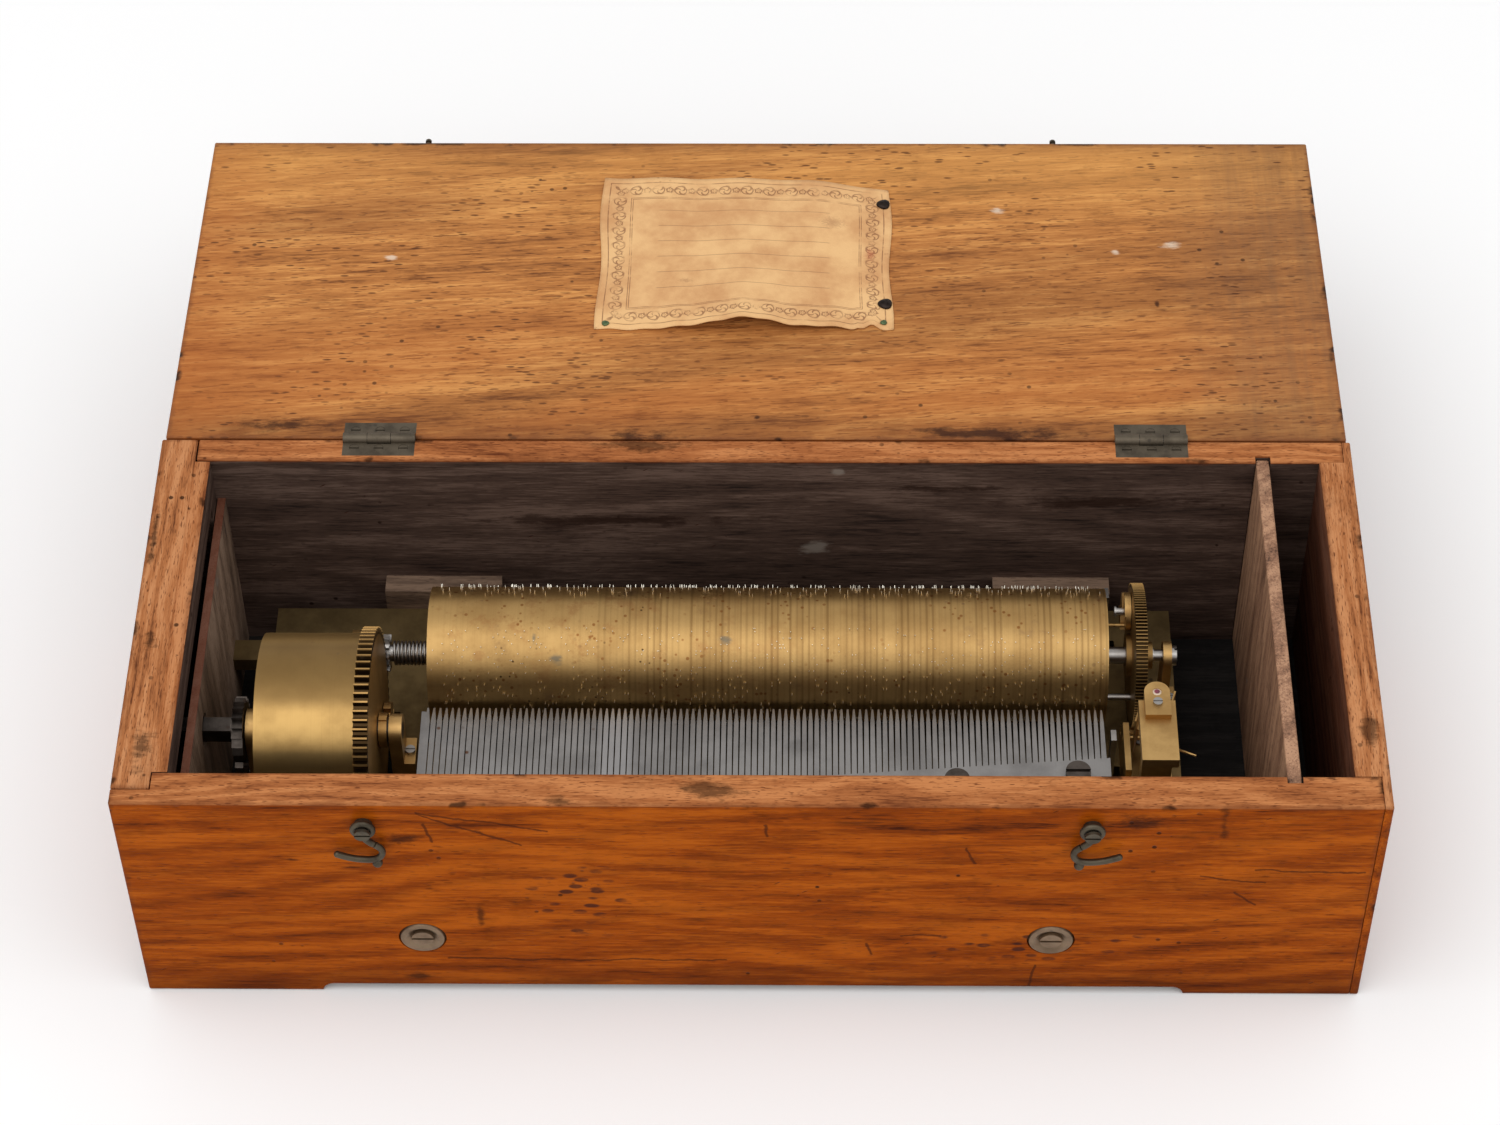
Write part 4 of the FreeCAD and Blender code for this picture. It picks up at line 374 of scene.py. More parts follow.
def caseWood(name, endBoard, low, high, stains, smears, lines=(), pecks=(), innerFrom=roomLow):
    material, tree, shader, place = newMaterial(name)
    grainPlace = turned(tree, place, z=math.radians(90)) if endBoard else place
    outer = useGroup(tree, woodGrain, Vector=grainPlace, Light=caseLook["light"], Mid=caseLook["mid"],
                     Dark=caseLook["dark"], Figure=0.09, Flecks=0.45)
    board = "end" if endBoard else "rim"
    rim = useGroup(tree, woodGrain, Vector=stretched(tree, grainPlace, (1.6, 1.6, 1.6)),
                   Light=caseLook[board + "Light"], Mid=caseLook[board + "Mid"],
                   Dark=caseLook[board + "Dark"], Figure=0.12, Flecks=0.8)
    room = useGroup(tree, woodGrain, Vector=grainPlace, Light=caseLook["roomLight"], Mid=caseLook["roomMid"],
                    Dark=caseLook["roomDark"], Figure=0.08, Flecks=0.4)
    wear = useGroup(tree, wearMarks, Vector=place, Amount=1.0)
    edge = useGroup(tree, edgeWear, Vector=place, Low=low, High=high, Width=0.0016)
    inside = useGroup(tree, roomMask, Vector=place, Low=innerFrom, High=roomHigh)["Inside"]
    top = ease(tree, split(tree, place)[2], 0.0917, 0.0922)
    swirl = times(tree, noise(tree, stretched(tree, grainPlace, (6, 9, 16)), 1.0, 4.0), 30.0)
    slanted = split(tree, turned(tree, grainPlace, y=caseLook["figureTilt"]))[2]
    figure = calc(tree, "SINE", calc(tree, "MULTIPLY_ADD", slanted, 520.0, swirl))
    pale = times(tree, ease(tree, figure, 0.2, 1.0), caseLook["figure"])
    deep = times(tree, ease(tree, figure, -0.1, -1.0), caseLook["figure"])
    color = blend(tree, pale, outer["Color"], caseLook["light"])
    color = blend(tree, deep, color, caseLook["dark"])
    lowest = times(tree, ease(tree, split(tree, place)[2], 0.020, 0.0), noise(tree, place, 50.0, 4.0))
    color = blend(tree, lowest, color, caseLook["dark"])
    color = blend(tree, top, color, rim["Color"])
    color = blend(tree, inside, color, room["Color"])
    color = painted(tree, color, wear["Grime"], 0.16, caseLook["grime"])
    color = painted(tree, color, wear["Scratches"], 0.75, caseLook["scratch"])
    color = painted(tree, color, wear["Dents"], 0.85, caseLook["grime"])
    color = painted(tree, color, edge["Edge"], 0.45, caseLook["rimDark"])
    color = painted(tree, color, edge["Chips"], 0.8, caseLook["grime"])
    color = blots(tree, place, color, stains, caseLook["grime"], 0.7)
    color = blots(tree, place, color, smears, tint(150, 140, 130), 0.55)
    wobble = stretched(tree, noise(tree, place, 90.0, 4.0, 0.6), (0.0036, 0.0, 0.0036))
    color = strokes(tree, vectorCalc(tree, "ADD", place, wobble), color, lines, caseLook["scratch"], 0.7)
    for centre, size in pecks:
        field = useGroup(tree, blot, Vector=place, Centre=centre, Size=size, Detail=90.0)["Mask"]
        peck = ease(tree, cells(tree, stretched(tree, place, (150, 150, 290)), 1.0), 0.38, 0.24)
        color = painted(tree, color, times(tree, field, peck), 0.8, tint(48, 26, 24))
    put(tree, shader.inputs["Base Color"], color)
    rough = calc(tree, "MULTIPLY_ADD", wear["Grime"], 0.18, caseLook["gloss"])
    rough = calc(tree, "MULTIPLY_ADD", top, 0.17, rough)
    rough = calc(tree, "MULTIPLY_ADD", inside, 0.36, rough)
    rough = calc(tree, "MULTIPLY_ADD", wear["Scratches"], 0.2, rough, clamp=True)
    put(tree, shader.inputs["Roughness"], rough)
    bumps = calc(tree, "MULTIPLY_ADD", wear["Height"], 1.5, times(tree, outer["Height"], 0.35))
    bumps = calc(tree, "MULTIPLY_ADD", edge["Chips"], -2.0, bumps)
    bumped(tree, shader, bumps, 0.00025, 0.55)
    shader.inputs["Specular IOR Level"].default_value = 0.02
    return material


def onFront(points, width):
    return [((x, -0.0695, z), (toX, -0.0695, toZ), width) for x, z, toX, toZ in points]


frontLines = onFront((
    (-0.0924, 0.0906, -0.0560, 0.0818),
    (-0.0924, 0.0900, -0.0641, 0.0748),
    (-0.0908, 0.0851, -0.0888, 0.0768),
    (-0.0883, 0.0186, -0.0062, 0.0182),
    (0.1464, 0.0645, 0.1777, 0.0635),
    (0.1309, 0.0614, 0.1493, 0.0581),
    (0.1419, 0.0541, 0.1479, 0.0477),
    (0.0460, 0.0314, 0.0571, 0.0312),
    (0.0836, 0.0045, 0.0859, 0.0165),
    (0.0630, 0.0740, 0.0659, 0.0670),
    (0.0356, 0.0272, 0.0369, 0.0216),
    (0.0056, 0.0847, 0.0065, 0.0798),
), 0.0006)
frontPecks = (
    ((-0.0520, -0.0695, 0.0490), (0.0200, 0.004, 0.0220)),
    ((0.0780, -0.0695, 0.0260), (0.0400, 0.004, 0.0110)),
)

frontWood = caseWood("frontWood", False, (-0.181, -0.0695, 0.0), (0.1785, -0.0583, 0.0925), (
    ((-0.0990, -0.0695, 0.0075), (0.0042, 0.002, 0.0026)),
    ((-0.1320, -0.0695, 0.0660), (0.0040, 0.002, 0.0009)),
    ((-0.1150, -0.0695, 0.0625), (0.0060, 0.002, 0.0008)),
    ((-0.0790, -0.0695, 0.0390), (0.0015, 0.002, 0.0060)),
    ((-0.1000, -0.0695, 0.0760), (0.0090, 0.002, 0.0030)),
    ((0.1120, -0.0695, 0.0850), (0.0110, 0.002, 0.0040)),
    ((0.1340, -0.0695, 0.0840), (0.0020, 0.002, 0.0090)),
    ((-0.0113, -0.0630, 0.0925), (0.0150, 0.004, 0.0030)),
    ((-0.0534, -0.0680, 0.0925), (0.0060, 0.002, 0.0020)),
), (), frontLines, frontPecks)
backWood = caseWood("backWood", False, (-0.1701, 0.0610, 0.0), (0.1785, 0.0695, 0.0925), (
    ((-0.0349, 0.0680, 0.0925), (0.0160, 0.0035, 0.0030)),
    ((-0.0479, 0.0611, 0.0650), (0.0500, 0.002, 0.0040)),
    ((0.1050, 0.0611, 0.0740), (0.0420, 0.002, 0.0034)),
    ((0.0600, 0.0611, 0.0800), (0.0260, 0.002, 0.0022)),
), (
    ((0.0185, 0.0611, 0.0523), (0.0070, 0.002, 0.0036)),
    ((0.0254, 0.0611, 0.0877), (0.0024, 0.002, 0.0016)),
))
rightWood = caseWood("rightWood", True, (0.171, -0.0695, 0.0), (0.181, 0.0695, 0.0925), (
    ((0.1765, -0.0420, 0.0925), (0.0030, 0.010, 0.0020)),
    ((0.1810, 0.0200, 0.0500), (0.0020, 0.012, 0.0060)),
), ())
flapWood = caseWood("flapWood", True, (-0.181, -0.0641, 0.004), (-0.1655, 0.0695, 0.0925), (
    ((-0.1757, -0.0099, 0.0925), (0.0020, 0.004, 0.0020)),
    ((-0.1740, -0.0500, 0.0925), (0.0045, 0.009, 0.0020)),
    ((-0.1790, 0.0300, 0.0925), (0.0012, 0.012, 0.0020)),
), (), innerFrom=(-0.1795, -0.0584, 0.0))  # its hollow is finished like the inside

# lid: its inner side has its own wood, its outer side follows the case
lidLook = {
    "light": tint(214, 150, 84),
    "mid": tint(180, 116, 60),
    "dark": tint(104, 58, 28),
    "golden": tint(214, 154, 82),
    "russet": tint(168, 92, 40),
    "edge": tint(120, 72, 42),
    "tilt": math.radians(3),
    "innerHeight": 0.0960,  # of the inner side, once levelled
}
lidWood, tree, shader, place = newMaterial("lidWood")
level = turned(tree, place, x=lidLook["tilt"])
levelAxes = split(tree, level)
inner = useGroup(tree, woodGrain, Vector=turned(tree, level, z=math.radians(-4)), Light=lidLook["light"],
                 Mid=lidLook["mid"], Dark=lidLook["dark"], Figure=0.05, Flecks=0.7)
outer = useGroup(tree, woodGrain, Vector=level, Light=caseLook["light"], Mid=caseLook["mid"],
                 Dark=caseLook["dark"], Figure=0.12, Flecks=0.35)
wear = useGroup(tree, wearMarks, Vector=level, Amount=0.8)
edge = useGroup(tree, edgeWear, Vector=level, Low=(-0.180, 0.0649, 0.0855),
                High=(0.180, 0.2039, lidLook["innerHeight"]), Width=0.0018)
innerSide = ease(tree, levelAxes[2], lidLook["innerHeight"] - 0.0006, lidLook["innerHeight"] - 0.0002)
drift = noise(tree, stretched(tree, turned(tree, level, z=math.radians(-9)), (4, 26, 26)), 1.0, 3.0)
golden = times(tree, ease(tree, levelAxes[1], 0.150, 0.205), ease(tree, drift, 0.30, 0.60))
color = painted(tree, inner["Color"], golden, 0.5, lidLook["golden"])
russet = times(tree, ease(tree, levelAxes[1], 0.150, 0.085), ease(tree, drift, 0.40, 0.62))
color = painted(tree, color, russet, 0.45, lidLook["russet"])
color = painted(tree, color, ease(tree, drift, 0.50, 0.36), 0.28, lidLook["dark"])
leftSide = times(tree, ease(tree, levelAxes[0], -0.150, -0.181), noise(tree, level, 45.0, 5.0, 0.65))
color = painted(tree, color, leftSide, 0.7, lidLook["russet"])
color = blend(tree, innerSide, outer["Color"], color)
streaks = noise(tree, stretched(tree, level, (300, 18, 18)), 1.0, 4.0, 0.6)
rightSide = times(tree, ease(tree, levelAxes[0], 0.118, 0.165), streaks)
color = painted(tree, color, rightSide, 0.85, tint(118, 84, 58))
nearHinge = times(tree, ease(tree, levelAxes[1], 0.082, 0.065), noise(tree, level, 60.0, 4.0, 0.6))
color = painted(tree, color, nearHinge, 0.9, tint(96, 52, 28))
farSide = ease(tree, levelAxes[1], 0.196, 0.2039)
color = painted(tree, color, farSide, 0.35, lidLook["edge"])
flecks = ease(tree, cells(tree, stretched(tree, level, (150, 520, 520)), 1.0), 0.26, 0.14)
thicket = noise(tree, level, 24.0, 3.0)
crowd = calc(tree, "MULTIPLY_ADD", ease(tree, levelAxes[1], 0.150, 0.205), 0.06, thicket)
flecks = times(tree, flecks, ease(tree, crowd, 0.48, 0.62))
color = painted(tree, color, flecks, 0.75, tint(74, 38, 20))
color = painted(tree, color, wear["Grime"], 0.22, lidLook["dark"])
color = painted(tree, color, wear["Scratches"], 0.5, lidLook["dark"])
color = painted(tree, color, wear["Dents"], 0.9, caseLook["grime"])
color = painted(tree, color, edge["Edge"], 0.6, lidLook["edge"])
color = painted(tree, color, edge["Chips"], 0.9, caseLook["grime"])
# dark marks on the lid; the two on its far edge are painted shade where the catch recesses are
color = blots(tree, place, color, (
    ((-0.0350, 0.0700, 0.0924), (0.0130, 0.0050, 0.004)),
    ((-0.1059, 0.2084, 0.0850), (0.0160, 0.0016, 0.004)),
    ((0.1042, 0.2084, 0.0850), (0.0080, 0.0013, 0.004)),
    ((0.0006, 0.0795, 0.0918), (0.0011, 0.0011, 0.004)),
    ((0.0740, 0.0730, 0.0920), (0.0300, 0.0030, 0.004)),
    ((-0.1440, 0.0760, 0.0920), (0.0160, 0.0040, 0.004)),
    ((0.1262, 0.1308, 0.0891), (0.0009, 0.0024, 0.004)),
), tint(52, 24, 12), 0.85)
color = blots(tree, place, color, (
    ((-0.1171, 0.1523, 0.0880), (0.0026, 0.0013, 0.004)),
    ((0.0775, 0.1755, 0.0868), (0.0028, 0.0022, 0.004)),
    ((0.1321, 0.1591, 0.0876), (0.0038, 0.0022, 0.004)),
    ((0.1143, 0.1557, 0.0878), (0.0018, 0.0016, 0.004)),
), tint(226, 206, 184), 0.7)
put(tree, shader.inputs["Base Color"], color)
rough = calc(tree, "MULTIPLY_ADD", innerSide, 0.16, 0.36)
put(tree, shader.inputs["Roughness"], calc(tree, "MULTIPLY_ADD", wear["Grime"], 0.15, rough))
bumps = calc(tree, "MULTIPLY_ADD", wear["Height"], 1.4, times(tree, inner["Height"], 0.45))
bumps = calc(tree, "MULTIPLY_ADD", edge["Chips"], -2.5, bumps)
bumped(tree, shader, bumps, 0.00025, 0.5)
shader.inputs["Specular IOR Level"].default_value = 0.12


def plainWood(name, light, mid, dark, along, rough, marks=(), pale=(), redTop=None):
    material, tree, shader, place = newMaterial(name)
    spin = {"x": (0, 0, 0), "y": (0, 0, math.radians(90)), "z": (0, math.radians(90), 0)}[along]
    grain = useGroup(tree, woodGrain, Vector=turned(tree, place, *spin), Light=light, Mid=mid, Dark=dark,
                     Figure=0.1, Flecks=0.5)
    wear = useGroup(tree, wearMarks, Vector=place, Amount=0.7)
    color = painted(tree, grain["Color"], wear["Grime"], 0.4, dark)
    color = painted(tree, color, wear["Scratches"], 0.4, light)
    color = blots(tree, place, color, marks, dark, 0.8)
    color = blots(tree, place, color, pale, tint(128, 122, 118), 0.6)
    if redTop is not None:
        top = ease(tree, split(tree, place)[2], redTop - 0.0006, redTop - 0.0002)
        color = painted(tree, color, top, 0.8, tint(112, 58, 38))
    put(tree, shader.inputs["Base Color"], color)
    put(tree, shader.inputs["Roughness"], calc(tree, "MULTIPLY_ADD", wear["Grime"], 0.2, rough))
    bumps = calc(tree, "ADD", grain["Height"], wear["Height"])
    bumped(tree, shader, bumps, 0.0002, 0.6)
    shader.inputs["Specular IOR Level"].default_value = 0.2
    return material


partitionWood = plainWood(
    "partitionWood", tint(158, 132, 112), tint(126, 102, 84), tint(62, 48, 40), "z", 0.6,
    (), (((-0.1627, 0.0313, 0.0692), (0.002, 0.0040, 0.0036)),), 0.0750,
)
dividerWood = plainWood(
    "dividerWood", tint(178, 136, 106), tint(142, 104, 80), tint(64, 43, 33), "z", 0.6,
    (), (((0.1520, 0.0256, 0.0315), (0.002, 0.0016, 0.0016)),),
)
floorWood = plainWood("floorWood", tint(36, 32, 30), tint(22, 19, 18), tint(12, 10, 9), "x", 0.75)
blockWood = plainWood("blockWood", tint(128, 104, 86), tint(98, 78, 64), tint(58, 43, 35), "x", 0.8)
print("woods made")

axisCentre = [sum(pair) / 2 for pair in zip(*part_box("cylinder"))]
barrelCentre = [sum(pair) / 2 for pair in zip(*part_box("spring_barrel"))]


# metals, with age spots, mottling and the lines of turning
def metal(name, base, shade, spot, rough, mottled=0.5, spotted=0.5, lines=0.2, turnAxis=None, centre=None,
          pitch=2600.0, depth=0.00006, metallic=1.0, coarse=70.0, extra=None):
    material, tree, shader, place = newMaterial(name)
    age = useGroup(tree, metalAge, Vector=place, Coarse=coarse, Fine=360.0, Spotted=spotted)
    axes = split(tree, place)
    if turnAxis == "face":
        yOff = calc(tree, "SUBTRACT", axes[1], centre[1])
        zOff = calc(tree, "SUBTRACT", axes[2], centre[2])
        along = calc(tree, "SQRT", calc(tree, "ADD", times(tree, yOff, yOff),
                                        times(tree, zOff, zOff)))
    else:
        along = axes[{"x": 0, "y": 1, "z": 2, None: 0}[turnAxis]]
    turning = useGroup(tree, turnLines, Along=along, Pitch=pitch)
    color = painted(tree, base, ease(tree, age["Mottle"], 0.38, 0.68), mottled, shade)
    color = painted(tree, color, ease(tree, turning["Lines"], 0.5, 0.75), lines, shade)
    color = painted(tree, color, age["Spots"], 0.85, spot)
    if extra is not None:
        color = extra(tree, place, axes, age, turning, color)
    put(tree, shader.inputs["Base Color"], color)
    shine = calc(tree, "MULTIPLY_ADD", age["Mottle"], 0.16, rough - 0.08)
    shine = calc(tree, "MULTIPLY_ADD", age["Spots"], 0.25, shine)
    put(tree, shader.inputs["Roughness"], shine)
    put(tree, shader.inputs["Metallic"], calc(tree, "MULTIPLY_ADD", age["Spots"], -0.5 * metallic, metallic))
    bumps = calc(tree, "MULTIPLY_ADD", turning["Lines"], lines * 2.0, times(tree, age["Speckle"], 0.4))
    bumps = calc(tree, "MULTIPLY_ADD", age["Spots"], -0.6, bumps)
    bumped(tree, shader, bumps, depth, 0.5)
    return material


brassLook = {
    "shade": tint(146, 110, 64),
    "spot": tint(88, 58, 34),
    "dull": tint(138, 116, 78),
    "dullShade": tint(88, 71, 46),
}


def cylinderAge(tree, place, axes, age, turning, color):
    scribed = ease(tree, axes[0], -0.060, -0.025, 0.15, 1.0)
    cell = calc(tree, "FRACT", times(tree, axes[0], 1 / 0.00185))
    grooves = ease(tree, calc(tree, "ABSOLUTE", calc(tree, "SUBTRACT", cell, 0.5)), 0.22, 0.42)
    grooves = times(tree, times(tree, grooves, scribed), ease(tree, turning["Bands"], 0.38, 0.58))
    color = painted(tree, color, grooves, 0.55, tint(120, 92, 54))
    bars = times(tree, ease(tree, turning["Bands"], 0.46, 0.60), scribed)
    color = painted(tree, color, bars, 0.30, brassLook["shade"])
    hazePlace = vectorCalc(tree, "ADD", place, (0.0, 2.0, 0.0))
    haze = ease(tree, noise(tree, hazePlace, 120.0, 5.0, 0.7), 0.52, 0.66)
    haze = times(tree, haze, ease(tree, axes[0], 0.040, -0.060, 0.2, 1.0))
    color = painted(tree, color, haze, 0.45, tint(150, 104, 62))
    rust = ease(tree, cells(tree, place, 400.0), 0.26, 0.14)
    rust = times(tree, rust, ease(tree, noise(tree, place, 60.0, 3.0), 0.46, 0.58))
    color = painted(tree, color, rust, 0.75, tint(126, 76, 34))
    color = blots(tree, place, color, (
        ((-0.0655, 0.0079, 0.0721), (0.0012, 0.0030, 0.0030)),
        ((-0.0585, 0.0027, 0.0684), (0.0030, 0.0020, 0.0024)),
        ((-0.0084, 0.0077, 0.0720), (0.0024, 0.0016, 0.0020)),
    ), tint(104, 98, 84), 0.8)
    holes = ease(tree, cells(tree, vectorCalc(tree, "ADD", place, (0.4, 0.2, 0.7)), 300.0), 0.13, 0.07)
    holes = times(tree, holes, ease(tree, noise(tree, place, 24.0, 2.0), 0.46, 0.56))
    color = painted(tree, color, holes, 0.85, tint(52, 34, 20))
    stainPlace = vectorCalc(tree, "ADD", place, (1.0, 0.0, 0.0))
    stain = ease(tree, noise(tree, stainPlace, 70.0, 5.0, 0.65), 0.58, 0.72)
    return painted(tree, color, stain, 0.45, tint(116, 88, 66))


# barrel extras: two painted reflections on the drum, and one dark spot
def barrelMarksAndReflections(tree, place, axes, age, turning, color):
    # painted reflection: a dark band along the upper front of the drum
    band = times(tree, ease(tree, axes[2], 0.0790, 0.0775), ease(tree, axes[2], 0.0725, 0.0745))
    front = ease(tree, axes[1], -0.012, -0.020)
    band = times(tree, times(tree, band, front), noise(tree, place, 90.0, 3.0))
    color = painted(tree, color, band, 0.75, tint(110, 96, 66))
    # painted reflection: the top of the drum is darkened
    reflectedTop = ease(tree, axes[2], 0.0852, 0.0875)
    color = painted(tree, color, reflectedTop, 0.75, tint(116, 90, 54))
    return blots(tree, place, color, (
        ((-0.1340, barrelCentre[1] - 0.0277, barrelCentre[2] - 0.0080), (0.0016, 0.003, 0.0016)),
    ), tint(24, 18, 14), 0.95)


cylinderBrass = metal(
    "cylinderBrass", tint(184, 148, 94), brassLook["shade"], brassLook["spot"],
    rough=0.42, mottled=0.45, spotted=0.55, lines=0.30, turnAxis="x", pitch=3200.0, depth=0.00008,
    extra=cylinderAge,
)
barrelBrass = metal(
    "barrelBrass", tint(188, 152, 94), tint(130, 98, 56), brassLook["spot"],
    rough=0.42, mottled=0.35, spotted=0.35, lines=0.2, turnAxis="x", pitch=2200.0, extra=barrelMarksAndReflections,
)


def toothDirt(centre, tip, root):
    def dirty(tree, place, axes, age, turning, color):
        yOff = calc(tree, "SUBTRACT", axes[1], centre[1])
        zOff = calc(tree, "SUBTRACT", axes[2], centre[2])
        away = calc(tree, "SQRT", calc(tree, "ADD", times(tree, yOff, yOff),
                                       times(tree, zOff, zOff)))
        gap = times(tree, ease(tree, away, tip - 0.0001, tip - 0.0004), ease(tree, away, root - 0.0008, root))
        return painted(tree, color, gap, 0.9, tint(46, 32, 20))
    return dirty


gearBrass = metal(
    "gearBrass", tint(186, 148, 92), brassLook["shade"], brassLook["spot"],
    rough=0.42, mottled=0.6, spotted=0.5, lines=0.25, turnAxis="face", centre=barrelCentre, pitch=1800.0,
    extra=toothDirt(barrelCentre, 0.03076, 0.0289),
)
greatBrass = metal(
    "greatBrass", tint(150, 120, 74), brassLook["shade"], brassLook["spot"],
    rough=0.45, mottled=0.7, spotted=0.5, lines=0.25, turnAxis="face", centre=axisCentre, pitch=1800.0,
    extra=toothDirt(axisCentre, 0.02196, 0.0211),
)
brass = metal(
    "brass", tint(202, 164, 106), brassLook["shade"], brassLook["spot"],
    rough=0.44, mottled=0.6, spotted=0.5, lines=0.18, turnAxis="y",
)
bedBrass = metal(
    "bedBrass", brassLook["dull"], brassLook["dullShade"], tint(52, 40, 24),
    rough=0.52, mottled=0.7, spotted=0.6, lines=0.12, turnAxis="x",
)
darkBrass = metal(
    "darkBrass", tint(88, 80, 66), tint(48, 42, 36), tint(28, 22, 18),
    rough=0.46, mottled=0.8, spotted=0.7, lines=0.1, turnAxis="x", metallic=0.85, coarse=160.0,
)
hingeBrass = metal(
    "hingeBrass", tint(98, 88, 74), tint(62, 54, 44), tint(40, 32, 27),
    rough=0.5, mottled=0.7, spotted=0.6, lines=0.2, turnAxis="x", metallic=0.8, coarse=150.0,
)
washerBrass = metal(
    "washerBrass", tint(136, 116, 94), tint(92, 74, 58), tint(50, 38, 30),
    rough=0.42, mottled=0.6, spotted=0.5, lines=0.1, turnAxis="x", metallic=0.9, coarse=140.0,
)
steel = metal(
    "steel", tint(176, 172, 168), tint(110, 104, 98), tint(70, 50, 36),
    rough=0.34, mottled=0.5, spotted=0.4, lines=0.2, turnAxis="x",
)
darkSteel = metal(
    "darkSteel", tint(92, 84, 78), tint(48, 42, 38), tint(70, 44, 28),
    rough=0.42, mottled=0.7, spotted=0.6, lines=0.1, turnAxis="x", coarse=160.0,
)


def combAge(tree, place, axes, age, turning, color):
    rust = ease(tree, cells(tree, place, 150.0), 0.13, 0.06)
    rust = times(tree, rust, ease(tree, noise(tree, place, 18.0, 2.0), 0.52, 0.60))
    color = painted(tree, color, rust, 0.9, tint(96, 62, 40))
    cloud = ease(tree, noise(tree, place, 45.0, 5.0, 0.6), 0.46, 0.72)
    color = painted(tree, color, cloud, 0.35, tint(96, 94, 96))
    pale = times(tree, ease(tree, axes[0], -0.047, -0.044), ease(tree, axes[0], -0.034, -0.038))
    return painted(tree, color, pale, 0.4, tint(190, 188, 188))


combSteel = metal(
    "combSteel", tint(152, 149, 147), tint(112, 109, 107), tint(80, 60, 44),
    rough=0.44, mottled=0.5, spotted=0.4, lines=0.30, turnAxis="x", pitch=5200.0, extra=combAge,
)
lead = metal(
    "lead", tint(120, 120, 124), tint(78, 78, 84), tint(60, 58, 58),
    rough=0.62, mottled=0.6, spotted=0.4, lines=0.05, turnAxis="x", metallic=0.8,
)

ruby, tree, shader, place = newMaterial("ruby")
away = vectorCalc(tree, "DISTANCE", place, tuple(sum(pair) / 2 for pair in zip(*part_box("governor_jewel"))))
age = useGroup(tree, metalAge, Vector=place, Coarse=900.0, Fine=2500.0, Spotted=0.2)
ring = ease(tree, away, 0.00092, 0.00108)
color = blend(tree, ease(tree, age["Mottle"], 0.4, 0.7), tint(120, 30, 52), tint(70, 16, 34))
put(tree, shader.inputs["Base Color"], blend(tree, ring, color, tint(206, 184, 160)))
put(tree, shader.inputs["Roughness"], calc(tree, "MULTIPLY_ADD", ring, 0.2, 0.12))
shader.inputs["Coat Weight"].default_value = 0.6
print("metals made")

# which finish each frame node gets
finishes = {
    frontWood: ["front_panel"],
    backWood: ["back_panel"],
    rightWood: ["right_panel"],
    flapWood: ["end_flap"],
    lidWood: ["lid_board"],
    partitionWood: ["left_partition"],
    dividerWood: ["divider_board"],
    floorWood: ["bottom_board"],
    blockWood: ["spacer_blocks"],
    cylinderBrass: ["cylinder", "cylinder_caps"],
    barrelBrass: ["spring_barrel", "barrel_cover"],
    gearBrass: ["barrel_gear", "stop_finger"],
    greatBrass: ["great_wheel"],
    brass: ["barrel_left_bridge", "barrel_right_bridge", "arbor_bearings", "governor_frame",
            "governor_cock", "fly", "first_governor_wheel", "second_governor_wheel", "change_snail",
            "slider_guides", "stop_cross"],
    bedBrass: ["bedplate"],
    darkBrass: ["hook_left", "hook_right", "hook_screws", "lid_catch_pins"],
    hingeBrass: ["case_hinge_leaves", "lid_hinge_leaves", "case_hinge_screws", "lid_hinge_screws"],
    washerBrass: ["cup_washers", "bedplate_screws"],
    steel: ["cylinder_spring", "arbor_pinion", "cylinder_arbor", "drive_pin", "change_stud", "endless_screw",
            "movement_screws", "stop_slider", "change_slider", "hinge_pins"],
    darkSteel: ["barrel_arbor", "ratchet_wheel", "click", "mainspring", "comb_screws", "comb_base"],
    combSteel: ["comb"],
    lead: ["tuning_weights"],
    ruby: ["governor_jewel"],
}
for material, names in finishes.items():
    for name in names:
        nodes[name].data.materials.clear()
        nodes[name].data.materials.append(material)
print("frame nodes finished")


def meshObject(name, shape, material, smooth=False):
    data = bpy.data.meshes.new(name)
    bmesh.ops.recalc_face_normals(shape, faces=shape.faces)
    for face in shape.faces:
        face.smooth = smooth
    shape.to_mesh(data)
    shape.free()
    data.materials.append(material)
    made = bpy.data.objects.new(name, data)
    bpy.context.scene.collection.objects.link(made)
    return made


# pins of the cylinder, four airs side by side under each tooth
pinSet = {
    "teeth": 110,
    "airs": 4,
    "pitch": 0.00185,
    "airStep": 0.00047,
    "perTrack": 5,
    "radius": 0.00015,
    "proud": 0.0010,
    "sides": 5,
    "blank": math.radians(14),  # bare strip between the end and the start of an air
}
cylinderLow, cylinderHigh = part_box("cylinder")
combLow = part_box("comb")[0]
cylinderRadius = (cylinderHigh.z - cylinderLow.z) / 2
picker = random.Random(4)
pinShape = bmesh.new()
pinCount = 0
for tooth in range(pinSet["teeth"]):
    toothX = combLow.x + pinSet["pitch"] * (tooth + 1)
    for air in range(pinSet["airs"]):
        pinX = toothX + air * pinSet["airStep"]
        if pinX > cylinderHigh.x - 0.0012 or pinX < cylinderLow.x + 0.0012:
            continue
        for beat in sorted(picker.sample(range(4, 124), picker.randint(3, 2 * pinSet["perTrack"] - 3))):
            angle = pinSet["blank"] / 2 + (2 * math.pi - pinSet["blank"]) * beat / 128
            lean = Matrix.Rotation(picker.uniform(-0.12, 0.12), 4, "Y")
            lift = Matrix.Translation((0, 0, cylinderRadius + pinSet["proud"] / 2 - 0.0001))
            turn = Matrix.Rotation(angle, 4, "X")
            spot = Matrix.Translation((pinX, axisCentre[1], axisCentre[2]))
            bmesh.ops.create_cone(
                pinShape,
                cap_ends=True,
                segments=pinSet["sides"],
                radius1=pinSet["radius"],
                radius2=pinSet["radius"] * 0.8,
                depth=pinSet["proud"],
                matrix=spot @ turn @ lift @ lean,
            )
            pinCount += 1
